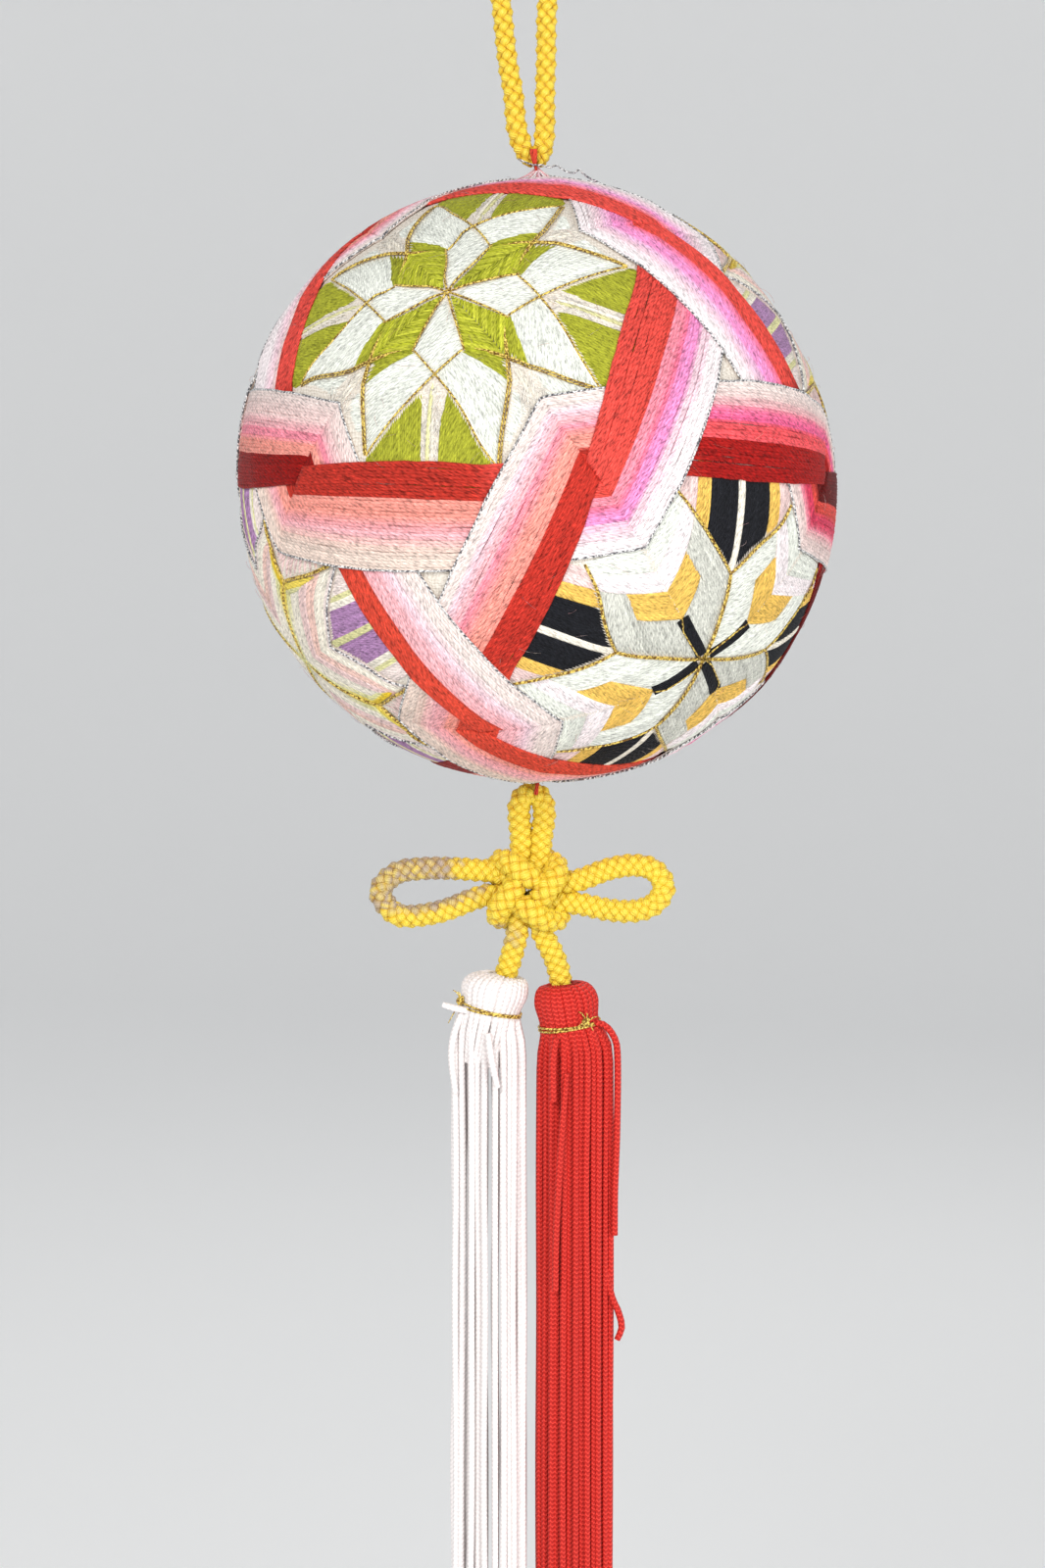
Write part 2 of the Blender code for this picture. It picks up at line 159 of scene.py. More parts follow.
def smooth_route(points, step):
    """Even points about a step apart on a smooth curve through the given ones."""
    rows = np.array(points, float)
    rows = np.vstack((2 * rows[0] - rows[1], rows, 2 * rows[-1] - rows[-2]))
    t = np.arange(12)[:, None] / 12
    dense = []
    for a, b, c, d in zip(rows, rows[1:], rows[2:], rows[3:]):
        dense.append(0.5 * (2 * b + (c - a) * t + (2 * a - 5 * b + 4 * c - d) * t ** 2
                            + (3 * b - a - 3 * c + d) * t ** 3))
    dense = np.vstack((*dense, rows[-2]))
    gone = travelled(dense)
    count = max(2, round(gone[-1] / step))
    stops = np.linspace(0, gone[-1], count + 1)
    return np.stack([np.interp(stops, gone, column) for column in dense.T], 1)


def travelled(points):
    """Distance along a route at each of its points."""
    steps = np.linalg.norm(np.diff(points[:, :3], axis=0), axis=1)
    return np.concatenate(((0.0,), np.cumsum(steps)))


def carried_frames(points):
    """Two directions across a route that turn as little as possible on the way."""
    along = unit(np.gradient(points, axis=0))
    across = np.empty_like(along)
    held = np.array((1.0, 0.0, 0.0)) if abs(along[0] @ BACK) > 0.9 else BACK
    for i, way in enumerate(along):
        held = held - way * (held @ way)
        held = held / np.linalg.norm(held)
        across[i] = held
    return across, np.cross(along, across)


# ---- Nodes

class Number:
    """A number in a finish's nodes. An expression on it adds Math nodes."""

    def __init__(self, finish, socket):
        self.finish = finish
        self.socket = socket

    def math(self, operation, *values):
        node = self.finish.node("ShaderNodeMath", {"operation": operation}, *values)
        return Number(self.finish, node.outputs[0])

    def __add__(self, other):
        return self.math("ADD", self, other)

    def __sub__(self, other):
        return self.math("SUBTRACT", self, other)

    def __rsub__(self, other):
        return self.math("SUBTRACT", other, self)

    def __mul__(self, other):
        return self.math("MULTIPLY", self, other)

    __radd__ = __add__
    __rmul__ = __mul__

    def sine(self):
        return self.math("SINE", self)

    def clamped(self):
        return self.math("MINIMUM", self.math("MAXIMUM", self, 0.0), 1.0)


def plug(tree, socket, value):
    """Link a number or a socket to a node's input, or set a plain value there."""
    if isinstance(value, Number):
        value = value.socket
    if isinstance(value, bpy.types.NodeSocket):
        tree.links.new(value, socket)
    else:
        socket.default_value = value


def add_node(tree, kind, settings=None, *values, **named):
    """A node: its settings first, then the values or links of its inputs."""
    made = tree.nodes.new(kind)
    for key, value in (settings or {}).items():
        setattr(made, key, value)
    for key, value in [*enumerate(values), *named.items()]:
        key = key if isinstance(key, int) else key.replace("_", " ")
        plug(tree, made.inputs[key], value)
    return made


# ---- Threads

class Threads:
    """The threads of one piece, each with its route, thickness, colour and top side."""

    def __init__(self):
        self.rows = {key: [] for key in
                     ("place", "thick", "dye", "facing", "along", "chance", "number")}
        self.count = 0

    def lay(self, route, thick, dye, facing=None):
        """Add a thread through an array of points in millimetres."""
        size = len(route)
        rows = self.rows
        rows["place"].append((route - (0, 0, HANG)) * MM)
        rows["thick"].append(np.broadcast_to(np.asarray(thick, float) * MM, (size,)))
        rows["dye"].append(np.broadcast_to(np.asarray(dye, float), (size, 3)))
        if facing is None:
            facing = unit(route - BALL_CENTRE)
        rows["facing"].append(np.broadcast_to(facing, (size, 3)))
        rows["along"].append(travelled(route))
        rows["chance"].append(np.full(size, rng.random()))
        rows["number"].append(np.full(size, self.count))
        self.count += 1

    def lay_smooth(self, rows, step, radius, dye, facing=None):
        """Add one on a smooth curve through rows of right, back, up and thickness."""
        route = smooth_route(rows, step)
        self.lay(route[:, :3], radius * route[:, 3], dye, facing)


def swept_thread_tree():
    """Geometry nodes that turn loose points into threads with a round or flat section."""
    tree = bpy.data.node_groups.new("swept_thread", "GeometryNodeTree")
    for name, way, kind in (("Geometry", "INPUT", "Geometry"), ("Sides", "INPUT", "Int"),
                            ("Height", "INPUT", "Float"), ("Width", "INPUT", "Float"),
                            ("Finish", "INPUT", "Material"),
                            ("Geometry", "OUTPUT", "Geometry")):
        tree.interface.new_socket(name, in_out=way, socket_type="NodeSocket" + kind)

    def add(kind, settings=None, **named):
        return add_node(tree, kind, settings, **named).outputs

    def stored(name, kind):
        return add("GeometryNodeInputNamedAttribute", {"data_type": kind},
                   Name=name)["Attribute"]

    given = add("NodeGroupInput")
    points = add("GeometryNodeMeshToPoints", Mesh=given["Geometry"])
    curves = add("GeometryNodePointsToCurves", Points=points["Points"],
                 Curve_Group_ID=stored("number", "INT"), Weight=stored("along", "FLOAT"))
    poly = add("GeometryNodeCurveSplineType", {"spline_type": "POLY"}, Curve=curves["Curves"])
    faced = add("GeometryNodeSetCurveNormal", {"mode": "FREE"}, Curve=poly["Curve"],
                Normal=stored("facing", "FLOAT_VECTOR"))
    ring = add("GeometryNodeCurvePrimitiveCircle", {"mode": "RADIUS"},
               Resolution=given["Sides"], Radius=1.0)
    marked = add("GeometryNodeStoreNamedAttribute",
                 {"data_type": "FLOAT_VECTOR", "domain": "POINT"}, Geometry=ring["Curve"],
                 Name="lay", Value=add("GeometryNodeInputPosition")["Position"])
    shape = add("ShaderNodeCombineXYZ", X=given["Height"], Y=given["Width"], Z=1.0)
    section = add("GeometryNodeTransform", Geometry=marked["Geometry"], Scale=shape["Vector"])
    swept = add("GeometryNodeCurveToMesh", Curve=faced["Curve"],
                Profile_Curve=section["Geometry"], Scale=stored("thick", "FLOAT"),
                Fill_Caps=True)
    real = add("GeometryNodeRealizeInstances", Geometry=swept["Mesh"])
    finished = add("GeometryNodeSetMaterial", Geometry=real["Geometry"],
                   Material=given["Finish"])
    add("NodeGroupOutput", Geometry=finished["Geometry"])
    return tree


THREAD_TREE = swept_thread_tree()


def sweep(name, threads, finish, sides=6, height=1.0, width=1.0):
    """One mesh of all the threads laid, with a section that many sides round."""
    rows = {key: np.concatenate(parts) for key, parts in threads.rows.items()}
    mesh = bpy.data.meshes.new(name)
    mesh.vertices.add(len(rows["place"]))
    mesh.vertices.foreach_set("co", rows["place"].astype(np.float32).ravel())
    for key, kind, field in (("thick", "FLOAT", "value"), ("along", "FLOAT", "value"),
                             ("chance", "FLOAT", "value"), ("number", "INT", "value"),
                             ("dye", "FLOAT_VECTOR", "vector"),
                             ("facing", "FLOAT_VECTOR", "vector")):
        attribute = mesh.attributes.new(key, kind, "POINT")
        values = rows[key].astype(np.int32 if kind == "INT" else np.float32)
        attribute.data.foreach_set(field, values.ravel())
    source = bpy.data.objects.new(name + "_points", mesh)
    bpy.context.scene.collection.objects.link(source)
    grow = source.modifiers.new("threads", "NODES")
    grow.node_group = THREAD_TREE
    sockets = {s.name: s.identifier for s in THREAD_TREE.interface.items_tree
               if s.in_out == "INPUT"}
    for key, value in (("Sides", sides), ("Height", height), ("Width", width),
                       ("Finish", finish)):
        grow[sockets[key]] = value
    ready = source.evaluated_get(bpy.context.evaluated_depsgraph_get())
    made = bpy.data.meshes.new_from_object(ready)
    made.name = name
    bpy.data.objects.remove(source)
    for key in ("thick", "facing", "number"):
        if key in made.attributes:
            made.attributes.remove(made.attributes[key])
    made.shade_smooth()
    piece = bpy.data.objects.new(name, made)
    bpy.context.scene.collection.objects.link(piece)
    return piece


# ---- Finishes

class Finish:
    """One procedural material round a Principled shader."""

    def __init__(self, name, **plain):
        self.material = bpy.data.materials.new(name)
        self.material.use_nodes = True
        self.tree = self.material.node_tree
        self.shader = self.tree.nodes["Principled BSDF"]
        for key, value in plain.items():
            self.shader.inputs[key.replace("_", " ")].default_value = value

    def node(self, kind, settings=None, *values, **named):
        return add_node(self.tree, kind, settings, *values, **named)

    def attribute(self, name):
        return self.node("ShaderNodeAttribute", {"attribute_name": name})

    def number(self, name):
        return Number(self, self.attribute(name).outputs["Fac"])

    def dye(self):
        return self.attribute("dye").outputs["Vector"]

    def place(self):
        return self.node("ShaderNodeTexCoord").outputs["Object"]

    def noise(self, scale, detail=2.0, vector=None):
        made = self.node("ShaderNodeTexNoise", None, Vector=vector or self.place(),
                         Scale=scale, Detail=detail)
        return Number(self, made.outputs["Fac"])

    def scaled(self, colour, by):
        made = self.node("ShaderNodeVectorMath", {"operation": "SCALE"}, colour, Scale=by)
        return made.outputs["Vector"]

    def mixed(self, share, first, second):
        """A mix of two colours, each a socket or red, green and blue."""
        made = self.node("ShaderNodeMix", {"data_type": "RGBA"})
        for index, value in ((0, share), (6, first), (7, second)):
            if isinstance(value, (tuple, np.ndarray)):
                value = (*value, 1.0)
            plug(self.tree, made.inputs[index], value)
        return made.outputs[2]

    def feed(self, **sockets):
        for key, value in sockets.items():
            plug(self.tree, self.shader.inputs[key.replace("_", " ")], value)

    def bump(self, height, distance):
        made = self.node("ShaderNodeBump", None, Strength=1.0, Distance=distance,
                         Height=height)
        self.feed(Normal=made.outputs["Normal"])

    def turn(self):
        """The angle round the thread, in radians, from its top side."""
        lay = self.attribute("lay").outputs["Vector"]
        parts = self.node("ShaderNodeSeparateXYZ", None, lay)
        x, y = (Number(self, parts.outputs[i]) for i in (0, 1))
        return x.math("ARCTAN2", y, x)


def stitched_thread():
    """Embroidery thread: slanting plies, painted shade in dark gaps between them and painted
    glints on a few bright fibres.
    """
    finish = Finish("stitched_thread", Roughness=0.6, Sheen_Weight=0.02,
                    Sheen_Roughness=0.4, Specular_IOR_Level=0.12)
    along = finish.number("along")
    chance = finish.number("chance")
    turn = finish.turn()
    ply = (turn * 3 - along * 3.6 + chance * 40).sine()
    parts = finish.node("ShaderNodeCombineXYZ", None, along * 0.5 + chance * 90,
                        turn * 0.55 - along * 0.6, chance * 50)
    fleck = finish.noise(1.3, 2.0, parts.outputs["Vector"])
    fibre = finish.noise(3200.0, 3.0)
    cloud = finish.noise(150.0, 2.0)
    # Painted shade darkens some flecks between the plies and painted glints lighten others, both
    # more on darker dyes.
    gap_shade = ((fleck - 0.5) * 5.0).clamped()
    painted_glint = ((0.44 - fleck) * 5.0).clamped()
    shade = ((ply * 0.5 + 0.5).clamped() * 0.16 + 0.88) * (0.8 + fibre * 0.4)
    dye = finish.dye()
    pale = Number(finish, finish.node("ShaderNodeSeparateXYZ", None, dye).outputs["Y"])
    shade = shade * (0.92 + cloud * 0.16) * (0.92 + chance * 0.16)
    shade = shade * (1 - gap_shade * (0.62 - pale * 0.24)) * (0.97 + painted_glint * (0.6 - pale * 0.35))
    finish.feed(Base_Color=finish.scaled(dye, shade))
    finish.bump(ply * 0.5 + fibre + fleck * -1.5, 0.00010)
    return finish.material


def metal_thread(name, dark, bright):
    """Thread wrapped in bright foil, its colour painted bright and dark by turns along the
    winding and in small flecks: painted reflections of the foil.
    """
    finish = Finish(name, Metallic=0.2, Roughness=0.32)
    along = finish.number("along")
    chance = finish.number("chance")
    wound = (finish.turn() + along * (2 * math.pi / 1.3) + chance * 50).sine()
    painted_glint = finish.noise(1700.0, 2.0)
    # Share of the bright colour over the dark one: painted reflections and glints.
    painted_highlight = (wound * 0.25 + (painted_glint - 0.5) * 5.5 + 0.5).clamped()
    finish.feed(Base_Color=finish.mixed(painted_highlight, dark, bright))
    finish.bump(wound + painted_glint, 0.00014)
    return finish.material


def braided_yarn():
    """Strand of a braided cord: fine filaments run along it. Its top is painted lighter, a
    painted highlight, and its sides darker and more orange, painted shade.
    """
    finish = Finish("braided_yarn", Roughness=0.36, Sheen_Weight=0.04, Sheen_Roughness=0.35)
    filament = (finish.turn() * 11 + finish.number("along") * 1.5).sine()
    fine = finish.noise(3800.0, 2.0)
    cloud = finish.noise(240.0, 2.0)
    ridge = finish.turn().math("COSINE", finish.turn())
    shade = (0.9 + filament * 0.05) * (0.85 + fine * 0.3) * (0.9 + cloud * 0.2)
    dyed = finish.scaled(finish.dye(), shade)
    # Painted shade for the strand's sides and a painted highlight for its top, by how far each
    # side faces out
    deep, painted_highlight = (finish.node("ShaderNodeVectorMath", {"operation": "MULTIPLY"}, dyed,
                             tint).outputs["Vector"]
                 for tint in ((0.8, 0.53, 0.24), (1.05, 1.25, 2.4)))
    topped = finish.mixed(((ridge - 0.5) * 1.6).clamped(), dyed, painted_highlight)
    finish.feed(Base_Color=finish.mixed(((0.6 - ridge) * 1.1).clamped(), topped, deep))
    finish.bump(filament * 0.5 + fine, 0.00012)
    return finish.material


def knitted_strand(name, relief, stitch_highlight):
    """Tassel strand: a fine knitted tube whose stitches show as rows of small chevrons, painted
    lighter on their tops, a painted highlight, and darker between them, painted shade; relief
    sets how strongly.
    """
    finish = Finish(name, Roughness=0.6, Sheen_Weight=0.03, Sheen_Roughness=0.4,
                    Specular_IOR_Level=0.3)
    rows = finish.number("along") * (2 * math.pi / 1.15) + finish.number("chance") * 40
    wale = (finish.turn() * 4).sine()
    stitch = (rows + wale * 1.2).sine()
    fine = finish.noise(4200.0, 2.0)
    # Painted shade between the stitches and painted highlight on their tops
    shade = (1 - relief * 0.5 + stitch * relief + wale * relief * 0.35) * (0.9 + fine * 0.2)
    dyed = finish.scaled(finish.dye(), shade)
    finish.feed(Base_Color=finish.mixed(((stitch - 0.3) * relief).clamped(), dyed, stitch_highlight))
    finish.bump(stitch * 0.8 + wale * 0.4 + fine * 0.4, 0.0008 * relief)
    return finish.material


def wound_core():
    """The wound ball under the stitches: crossing layers of pale thread."""
    finish = Finish("wound_core", Roughness=0.75)
    fibre = finish.noise(2600.0, 3.0)
    crossing = fibre * 0.5
    for direction in ("DIAGONAL", "X", "Z"):
        weave = finish.node("ShaderNodeTexWave", {"bands_direction": direction},
                            Vector=finish.place(), Scale=420.0, Distortion=14.0, Detail=3.0,
                            Detail_Scale=0.6)
        crossing = crossing + Number(finish, weave.outputs["Fac"]) * 0.3
    finish.feed(Base_Color=finish.mixed(crossing.clamped(), linear(190, 176, 158),
                                        linear(240, 232, 220)))
    finish.bump(crossing, 0.0002)
    return finish.material


def studio_floor():
    finish = Finish("studio_floor", Roughness=0.9, Emission_Color=(0.95, 0.96, 1.0, 1.0),
                    Emission_Strength=0.2)
    cloud = finish.noise(0.8, 3.0)
    finish.feed(Base_Color=finish.mixed(cloud, linear(226, 226, 224), linear(232, 232, 230)))
    return finish.material


# ---- The ball

def face_axes():
    """Outward directions of the middles of the green, black and purple faces in front."""
    axes = []
    for step, sign in ((0, 1), (1, -1), (2, 1)):
        turn = math.radians(FACE_TURN + 60 * step)
        tilt = math.radians(FACE_TILT * sign)
        axes.append((math.cos(tilt) * math.sin(turn), -math.cos(tilt) * math.cos(turn),
                     math.sin(tilt)))
    x, y, z = np.array(axes).T
    nod, roll = math.radians(NOD), math.radians(ROLL)
    y, z = y * math.cos(nod) + z * math.sin(nod), z * math.cos(nod) - y * math.sin(nod)
    x, z = x * math.cos(roll) + z * math.sin(roll), z * math.cos(roll) - x * math.sin(roll)
    return np.stack((x, y, z), 1)


GREEN, BLACK, PURPLE = face_axes()
# Each face's middle, its right and its up as the pattern is drawn
FACES = {
    "green_front": (GREEN, BLACK, PURPLE),
    "black_front": (BLACK, -GREEN, PURPLE),
    "purple_front": (-PURPLE, BLACK, GREEN),
    "purple_back": (PURPLE, GREEN, BLACK),
    "green_back": (-GREEN, PURPLE, BLACK),
    "black_back": (-BLACK, GREEN, PURPLE),
}


def ramp(value, low, high):
    """From 0 at low to 1 at high, with soft ends."""
    t = np.clip((value - low) / (high - low), 0, 1)
    return t * t * (3 - 2 * t)


def wound_radius(ways):
    """The wound ball's radius under the stitches in each direction, mm."""
    x, y, z = ways.T
    slope = math.radians(LONG_LINE)
    longer = x * math.cos(slope) - z * math.sin(slope)
    shorter = x * math.sin(slope) + z * math.cos(slope)
    crown = np.exp(-(x ** 2 + y ** 2) / CROWN_REACH) * (z > 0)
    lumps = np.zeros(len(ways))
    for degrees, height in LUMPS:
        turn = math.radians(degrees)
        lumps += height * np.exp((x * math.sin(turn) + z * math.cos(turn) - 1) / LUMP_REACH)
    return (FACE_RADIUS + OUT_OF_ROUND * (longer ** 2 - shorter ** 2)
            + THREE_SIDED * (z ** 3 - 3 * z * x ** 2) + CROWN * crown + lumps)


def ways_from(face, spots):
    """Directions from the ball's centre of spots in degrees on a face."""
    middle, right, up = FACES[face]
    away = np.radians(np.hypot(spots[:, 0], spots[:, 1]))[:, None]
    turn = np.arctan2(spots[:, 1], spots[:, 0])[:, None]
    return np.cos(away) * middle + np.sin(away) * (np.cos(turn) * right + np.sin(turn) * up)


def on_ball(ways, lift):
    """Points above the wound ball by a lift in millimetres."""
    return BALL_CENTRE + ways * (wound_radius(ways) + lift)[:, None]


def band_side(offset, turn):
    """Distance from the face's middle of a band's side, degrees, for the turn from a corner."""
    middle = np.radians(turn - 45)
    straight = np.degrees(np.arctan(np.tan(np.radians(45 + offset)) * math.sqrt(0.5)
                                    / np.cos(middle)))
    bow = INNER_BOW + (OUTER_BOW - INNER_BOW) * offset / BAND_WIDTH
    return straight + bow * np.cos(2 * middle)


def offset_at(ways, face):
    """Degrees past a face's innermost round, going outward."""
    middle, right, up = FACES[face]
    away = np.degrees(np.arccos(np.clip(ways @ middle, -1, 1)))
    turn = np.degrees(np.arctan2(ways @ up, ways @ right)) % 90
    inner, outer = band_side(0.0, turn), band_side(BAND_WIDTH, turn)
    return (away - inner) / (outer - inner) * BAND_WIDTH


def over_lift(ways, face):
    """How far a thread of this face's band rises, from 0 to 1, to cross over another's."""
    middle = FACES[face][0]
    lift = np.zeros(len(ways))
    for other, (axis, _, _) in FACES.items():
        if abs(axis @ middle) > 0.5:
            continue
        on_this_side = (ways @ np.cross(middle, axis) > 0) * (ways @ axis > 0.35)
        offset = offset_at(ways, other)
        cover = ramp(offset, *RISE) * (1 - ramp(offset, *FALL))
        lift = np.maximum(lift, cover * on_this_side)
    return lift


# Colours of a band's arm: how many threads out from the inner edge, and the dye there
ARMS = {
    "magenta": ((13.8, "scarlet"), (14.0, "pink"), (16.5, "pink"), (18, "rose_red"),
                (20, "orchid"), (22.5, "orchid"), (24.5, "blush"), (27, "blush"),
                (29, "white")),
    "crown": ((10.8, "scarlet"), (11.2, "coral"), (13.5, "pink"), (16.5, "orchid"),
              (19.5, "light_orchid"), (23, "blush"), (29, "white")),
    "shell": ((10.6, "scarlet"), (10.8, "shell"), (16, "blush"), (22, "white")),
    "salmon": ((11.4, "brick"), (11.7, "salmon"), (16.5, "salmon"), (19.5, "blossom"),
               (22, "rose"), (25, "peach"), (28, "cream"), (33, "cream")),
    "crimson": ((13.2, "crimson"), (13.4, "coral"), (18.2, "coral"), (18.8, "hot_pink"),
                (21.6, "hot_pink"), (23.6, "pink"), (25, "rose"), (27.5, "shell"),
                (31, "milk")),
    "coral": ((12.2, "red"), (12.4, "salmon"), (17.6, "salmon"), (21.5, "pink"),
              (24, "rose"), (27, "blush"), (29.5, "milk")),
    "pale": ((11.8, "vermilion"), (12.0, "salmon"), (14.5, "salmon"), (17, "blossom"),
             (22, "rose"), (25, "peach"), (28, "cream"), (33, "cream")),
    "rosy": ((10.2, "vermilion"), (10.4, "blossom"), (13, "rose"), (17, "rose"),
             (21, "blush"), (27, "milk")),
    "wine": ((12.0, "maroon"), (12.2, "salmon"), (16, "salmon"), (19, "pink"),
             (20.6, "pink"), (22, "rose"), (26, "shell"), (33, "milk")),
    "orchid": ((11.0, "scarlet"), (11.3, "rose_red"), (13.5, "rose_red"), (16, "orchid"),
               (20, "orchid"), (22.5, "light_orchid"), (25.5, "blush"), (29, "white")),
    "ember": ((12.8, "claret"), (13.0, "scarlet"), (17.6, "scarlet"), (19, "cerise"),
              (22.5, "cerise"), (25, "pink"), (27.5, "shell"), (33, "milk")),
}
# Arms at the corners to the right, up, left and down of each face
CORNER_ARMS = {
    "green_front": ("magenta", "crown", "shell", "salmon"),
    "black_front": ("ember", "crimson", "coral", "pale"),
    "purple_front": ("rosy", "wine", "coral", "wine"),
    "purple_back": ("orchid", "ember", "salmon", "crown"),
    "green_back": ("salmon", "magenta", "wine", "shell"),
    "black_back": ("coral", "wine", "crimson", "pale"),
}
# Degrees that a side's inner threads are moved out
NARROW_ARMS = {("purple_front", 0): 2.0, ("green_front", 0): -1.5, ("green_front", 1): -1.6,
               ("green_front", 3): -1.3}


def arm_dyes(name):
    """The dye of each round of an arm, blended from one stop to the next."""
    stops = ARMS[name]
    at = np.arange(ROUNDS) + 0.5 + rng.normal(0, 0.35, ROUNDS)
    places = [0.0, *(count for count, _ in stops)]
    dyes = np.array([DYES[dye] for _, dye in (stops[0], *stops)])
    return np.stack([np.interp(at, places, column) for column in dyes.T], 1)


def pushed(turns, share, narrowed):
    """Degrees that a side's threads lie inward near their corner and outward far from it."""
    far = 64                        # where on a side of 90 degrees they lie out farthest
    swing = np.where(turns < far, np.sin(np.radians(90 * turns / far)),
                     (90 - turns) / (90 - far))
    return (1 - share ** 3) * (2.9 * swing - 1.25) + narrowed * (1 - share) ** 1.5


def dipped(count, depth):
    """How far each point of a thread sinks where its two ends go into the ball."""
    sink = np.zeros(count)
    sink[0] = sink[-1] = depth
    if count > 3:
        sink[1] = sink[-2] = depth * 0.3
    return sink


def lay_bands(threads, metal, face):
    """All rounds of one face's band, four threads to a round, and its silver edge."""
    wander = rng.normal(0, 1, (4, 6))
    turns = np.concatenate(((0.0, 0.5), np.linspace(2.2, 87.8, 21), (89.5, 90.0)))
    far = ramp(turns, 60, 66)[:, None]
    for corner in range(4):
        nearing = arm_dyes(CORNER_ARMS[face][corner])
        leaving = arm_dyes(CORNER_ARMS[face][(corner + 1) % 4])
        narrowed = NARROW_ARMS.get((face, corner), 0.0)
        for number in range(ROUNDS + 1):
            edge = number == ROUNDS
            share = (number + (0.0 if edge else 0.5)) / ROUNDS
            offset = BAND_WIDTH * share + rng.normal(0, 0.04) + pushed(turns, share, narrowed)
            uneven = np.sin(np.radians(turns) * (3 + wander[corner, :3, None])
                            + wander[corner, 3:, None]).sum(0) * 0.05
            quiver = rng.normal(0, 0.05, len(turns))
            away = band_side(offset, turns) + uneven + quiver
            angle = np.radians(turns + 90 * corner)
            ways = ways_from(face, np.stack((away * np.cos(angle), away * np.sin(angle)), 1))
            lift = BAND_BASE + BAND_LIFT * over_lift(ways, face)
            lift = lift - dipped(len(turns), BAND_DIP) + rng.normal(0, 0.03)
            if edge:
                metal.lay(on_ball(ways, lift + EDGE_LIFT), EDGE_THREAD, DYES["silver"])
            else:
                threads.lay(on_ball(ways, lift), THREAD,
                            nearing[number] * (1 - far) + leaving[number] * far)


def pulled(marks):
    """A pattern stitched off its even places: marks, and how far each one is moved."""
    marks = np.array(marks, float)

    def move(spots):
        apart = ((spots[:, None] - marks[:, :2]) ** 2).sum(2)
        weight = (apart + PULL_REACH) ** -1.5
        return spots + weight @ marks[:, 2:] / weight.sum(1, keepdims=True)
    return move


PULLS = {
    "green_front": pulled((
        (0, 0, -0.5, -0.1), (19, 0, -0.7, 0), (0, 19, -0.7, -0.6), (-19, 0, 3.4, 0),
        (0, -19, -0.4, 0.3), (-11.4, 4.9, 2.0, 0.5), (-11.4, -4.9, 1.5, -1.0),
        (11.7, 11.7, -0.3, 0.3), (-11.7, 11.7, -0.6, 0.8), (-11.7, -11.7, -0.4, 0),
        (11.7, -11.7, 0.1, 0), (32.5, 12, 0.4, -1.2), (12, 32.5, 0, -1.1),
        (-12, 32.5, 1.8, -2.0), (-32.5, 12, 3.0, 0.8), (-32.5, -12, 2.0, -0.8),
        (-12, -32.5, -1.5, 1.0), (12, -32.5, 0.2, 1.0), (32.5, -12, 0.7, -2.4))),
    "black_front": pulled((
        (0, 0, 0.7, 0), (0, 10.5, 1.3, 0.1), (10.5, 0, 1.6, 0), (-10.5, 0, -0.6, -0.3),
        (0, -10.5, 1.0, -0.3), (-12.3, 12.3, 0.6, -0.2), (-12.3, -12.3, 0, -1.7),
        (12.3, -12.3, 0.9, -0.7), (12.3, 12.3, 1.8, 0.6), (-32.5, 12, 0, 0),
        (-32.5, -12, 1.0, 0.7), (-12, 32.5, 3.0, -0.7), (12, 32.5, 3.4, 0.6),
        (-12, -32.5, -0.9, -1.4), (12, -32.5, -0.3, 0.3), (32.5, 12, 0, 0),
        (32.5, -12, 0, 0))),
    "purple_front": pulled((
        (0, 0, 4.4, 2.6), (0, 21, 1.6, 1.0), (21, 0, 3.5, 2.4), (12.5, 12.5, 3.4, 2.6),
        (12.6, 34, 3.6, 1.6), (34, 12.6, 0, -0.8), (-12.6, 34, 4.5, -2.5),
        (-12.5, 12.5, 2.3, 3.6), (34, -13, -1.8, 2.8), (-21, 0, 3.0, 1.0),
        (0, -21, 2.0, 1.0), (12.5, -12.5, 2.5, 1.5), (-12.5, -12.5, 2.0, 1.0),
        (-34, -13, 0, 0), (-13, -34, 0, 0))),
}


def from_diagonal(spots):
    """Spots given along and across the diagonal up to the right."""
    half = math.sqrt(0.5)
    return [((along - across) * half, (along + across) * half) for along, across in spots]


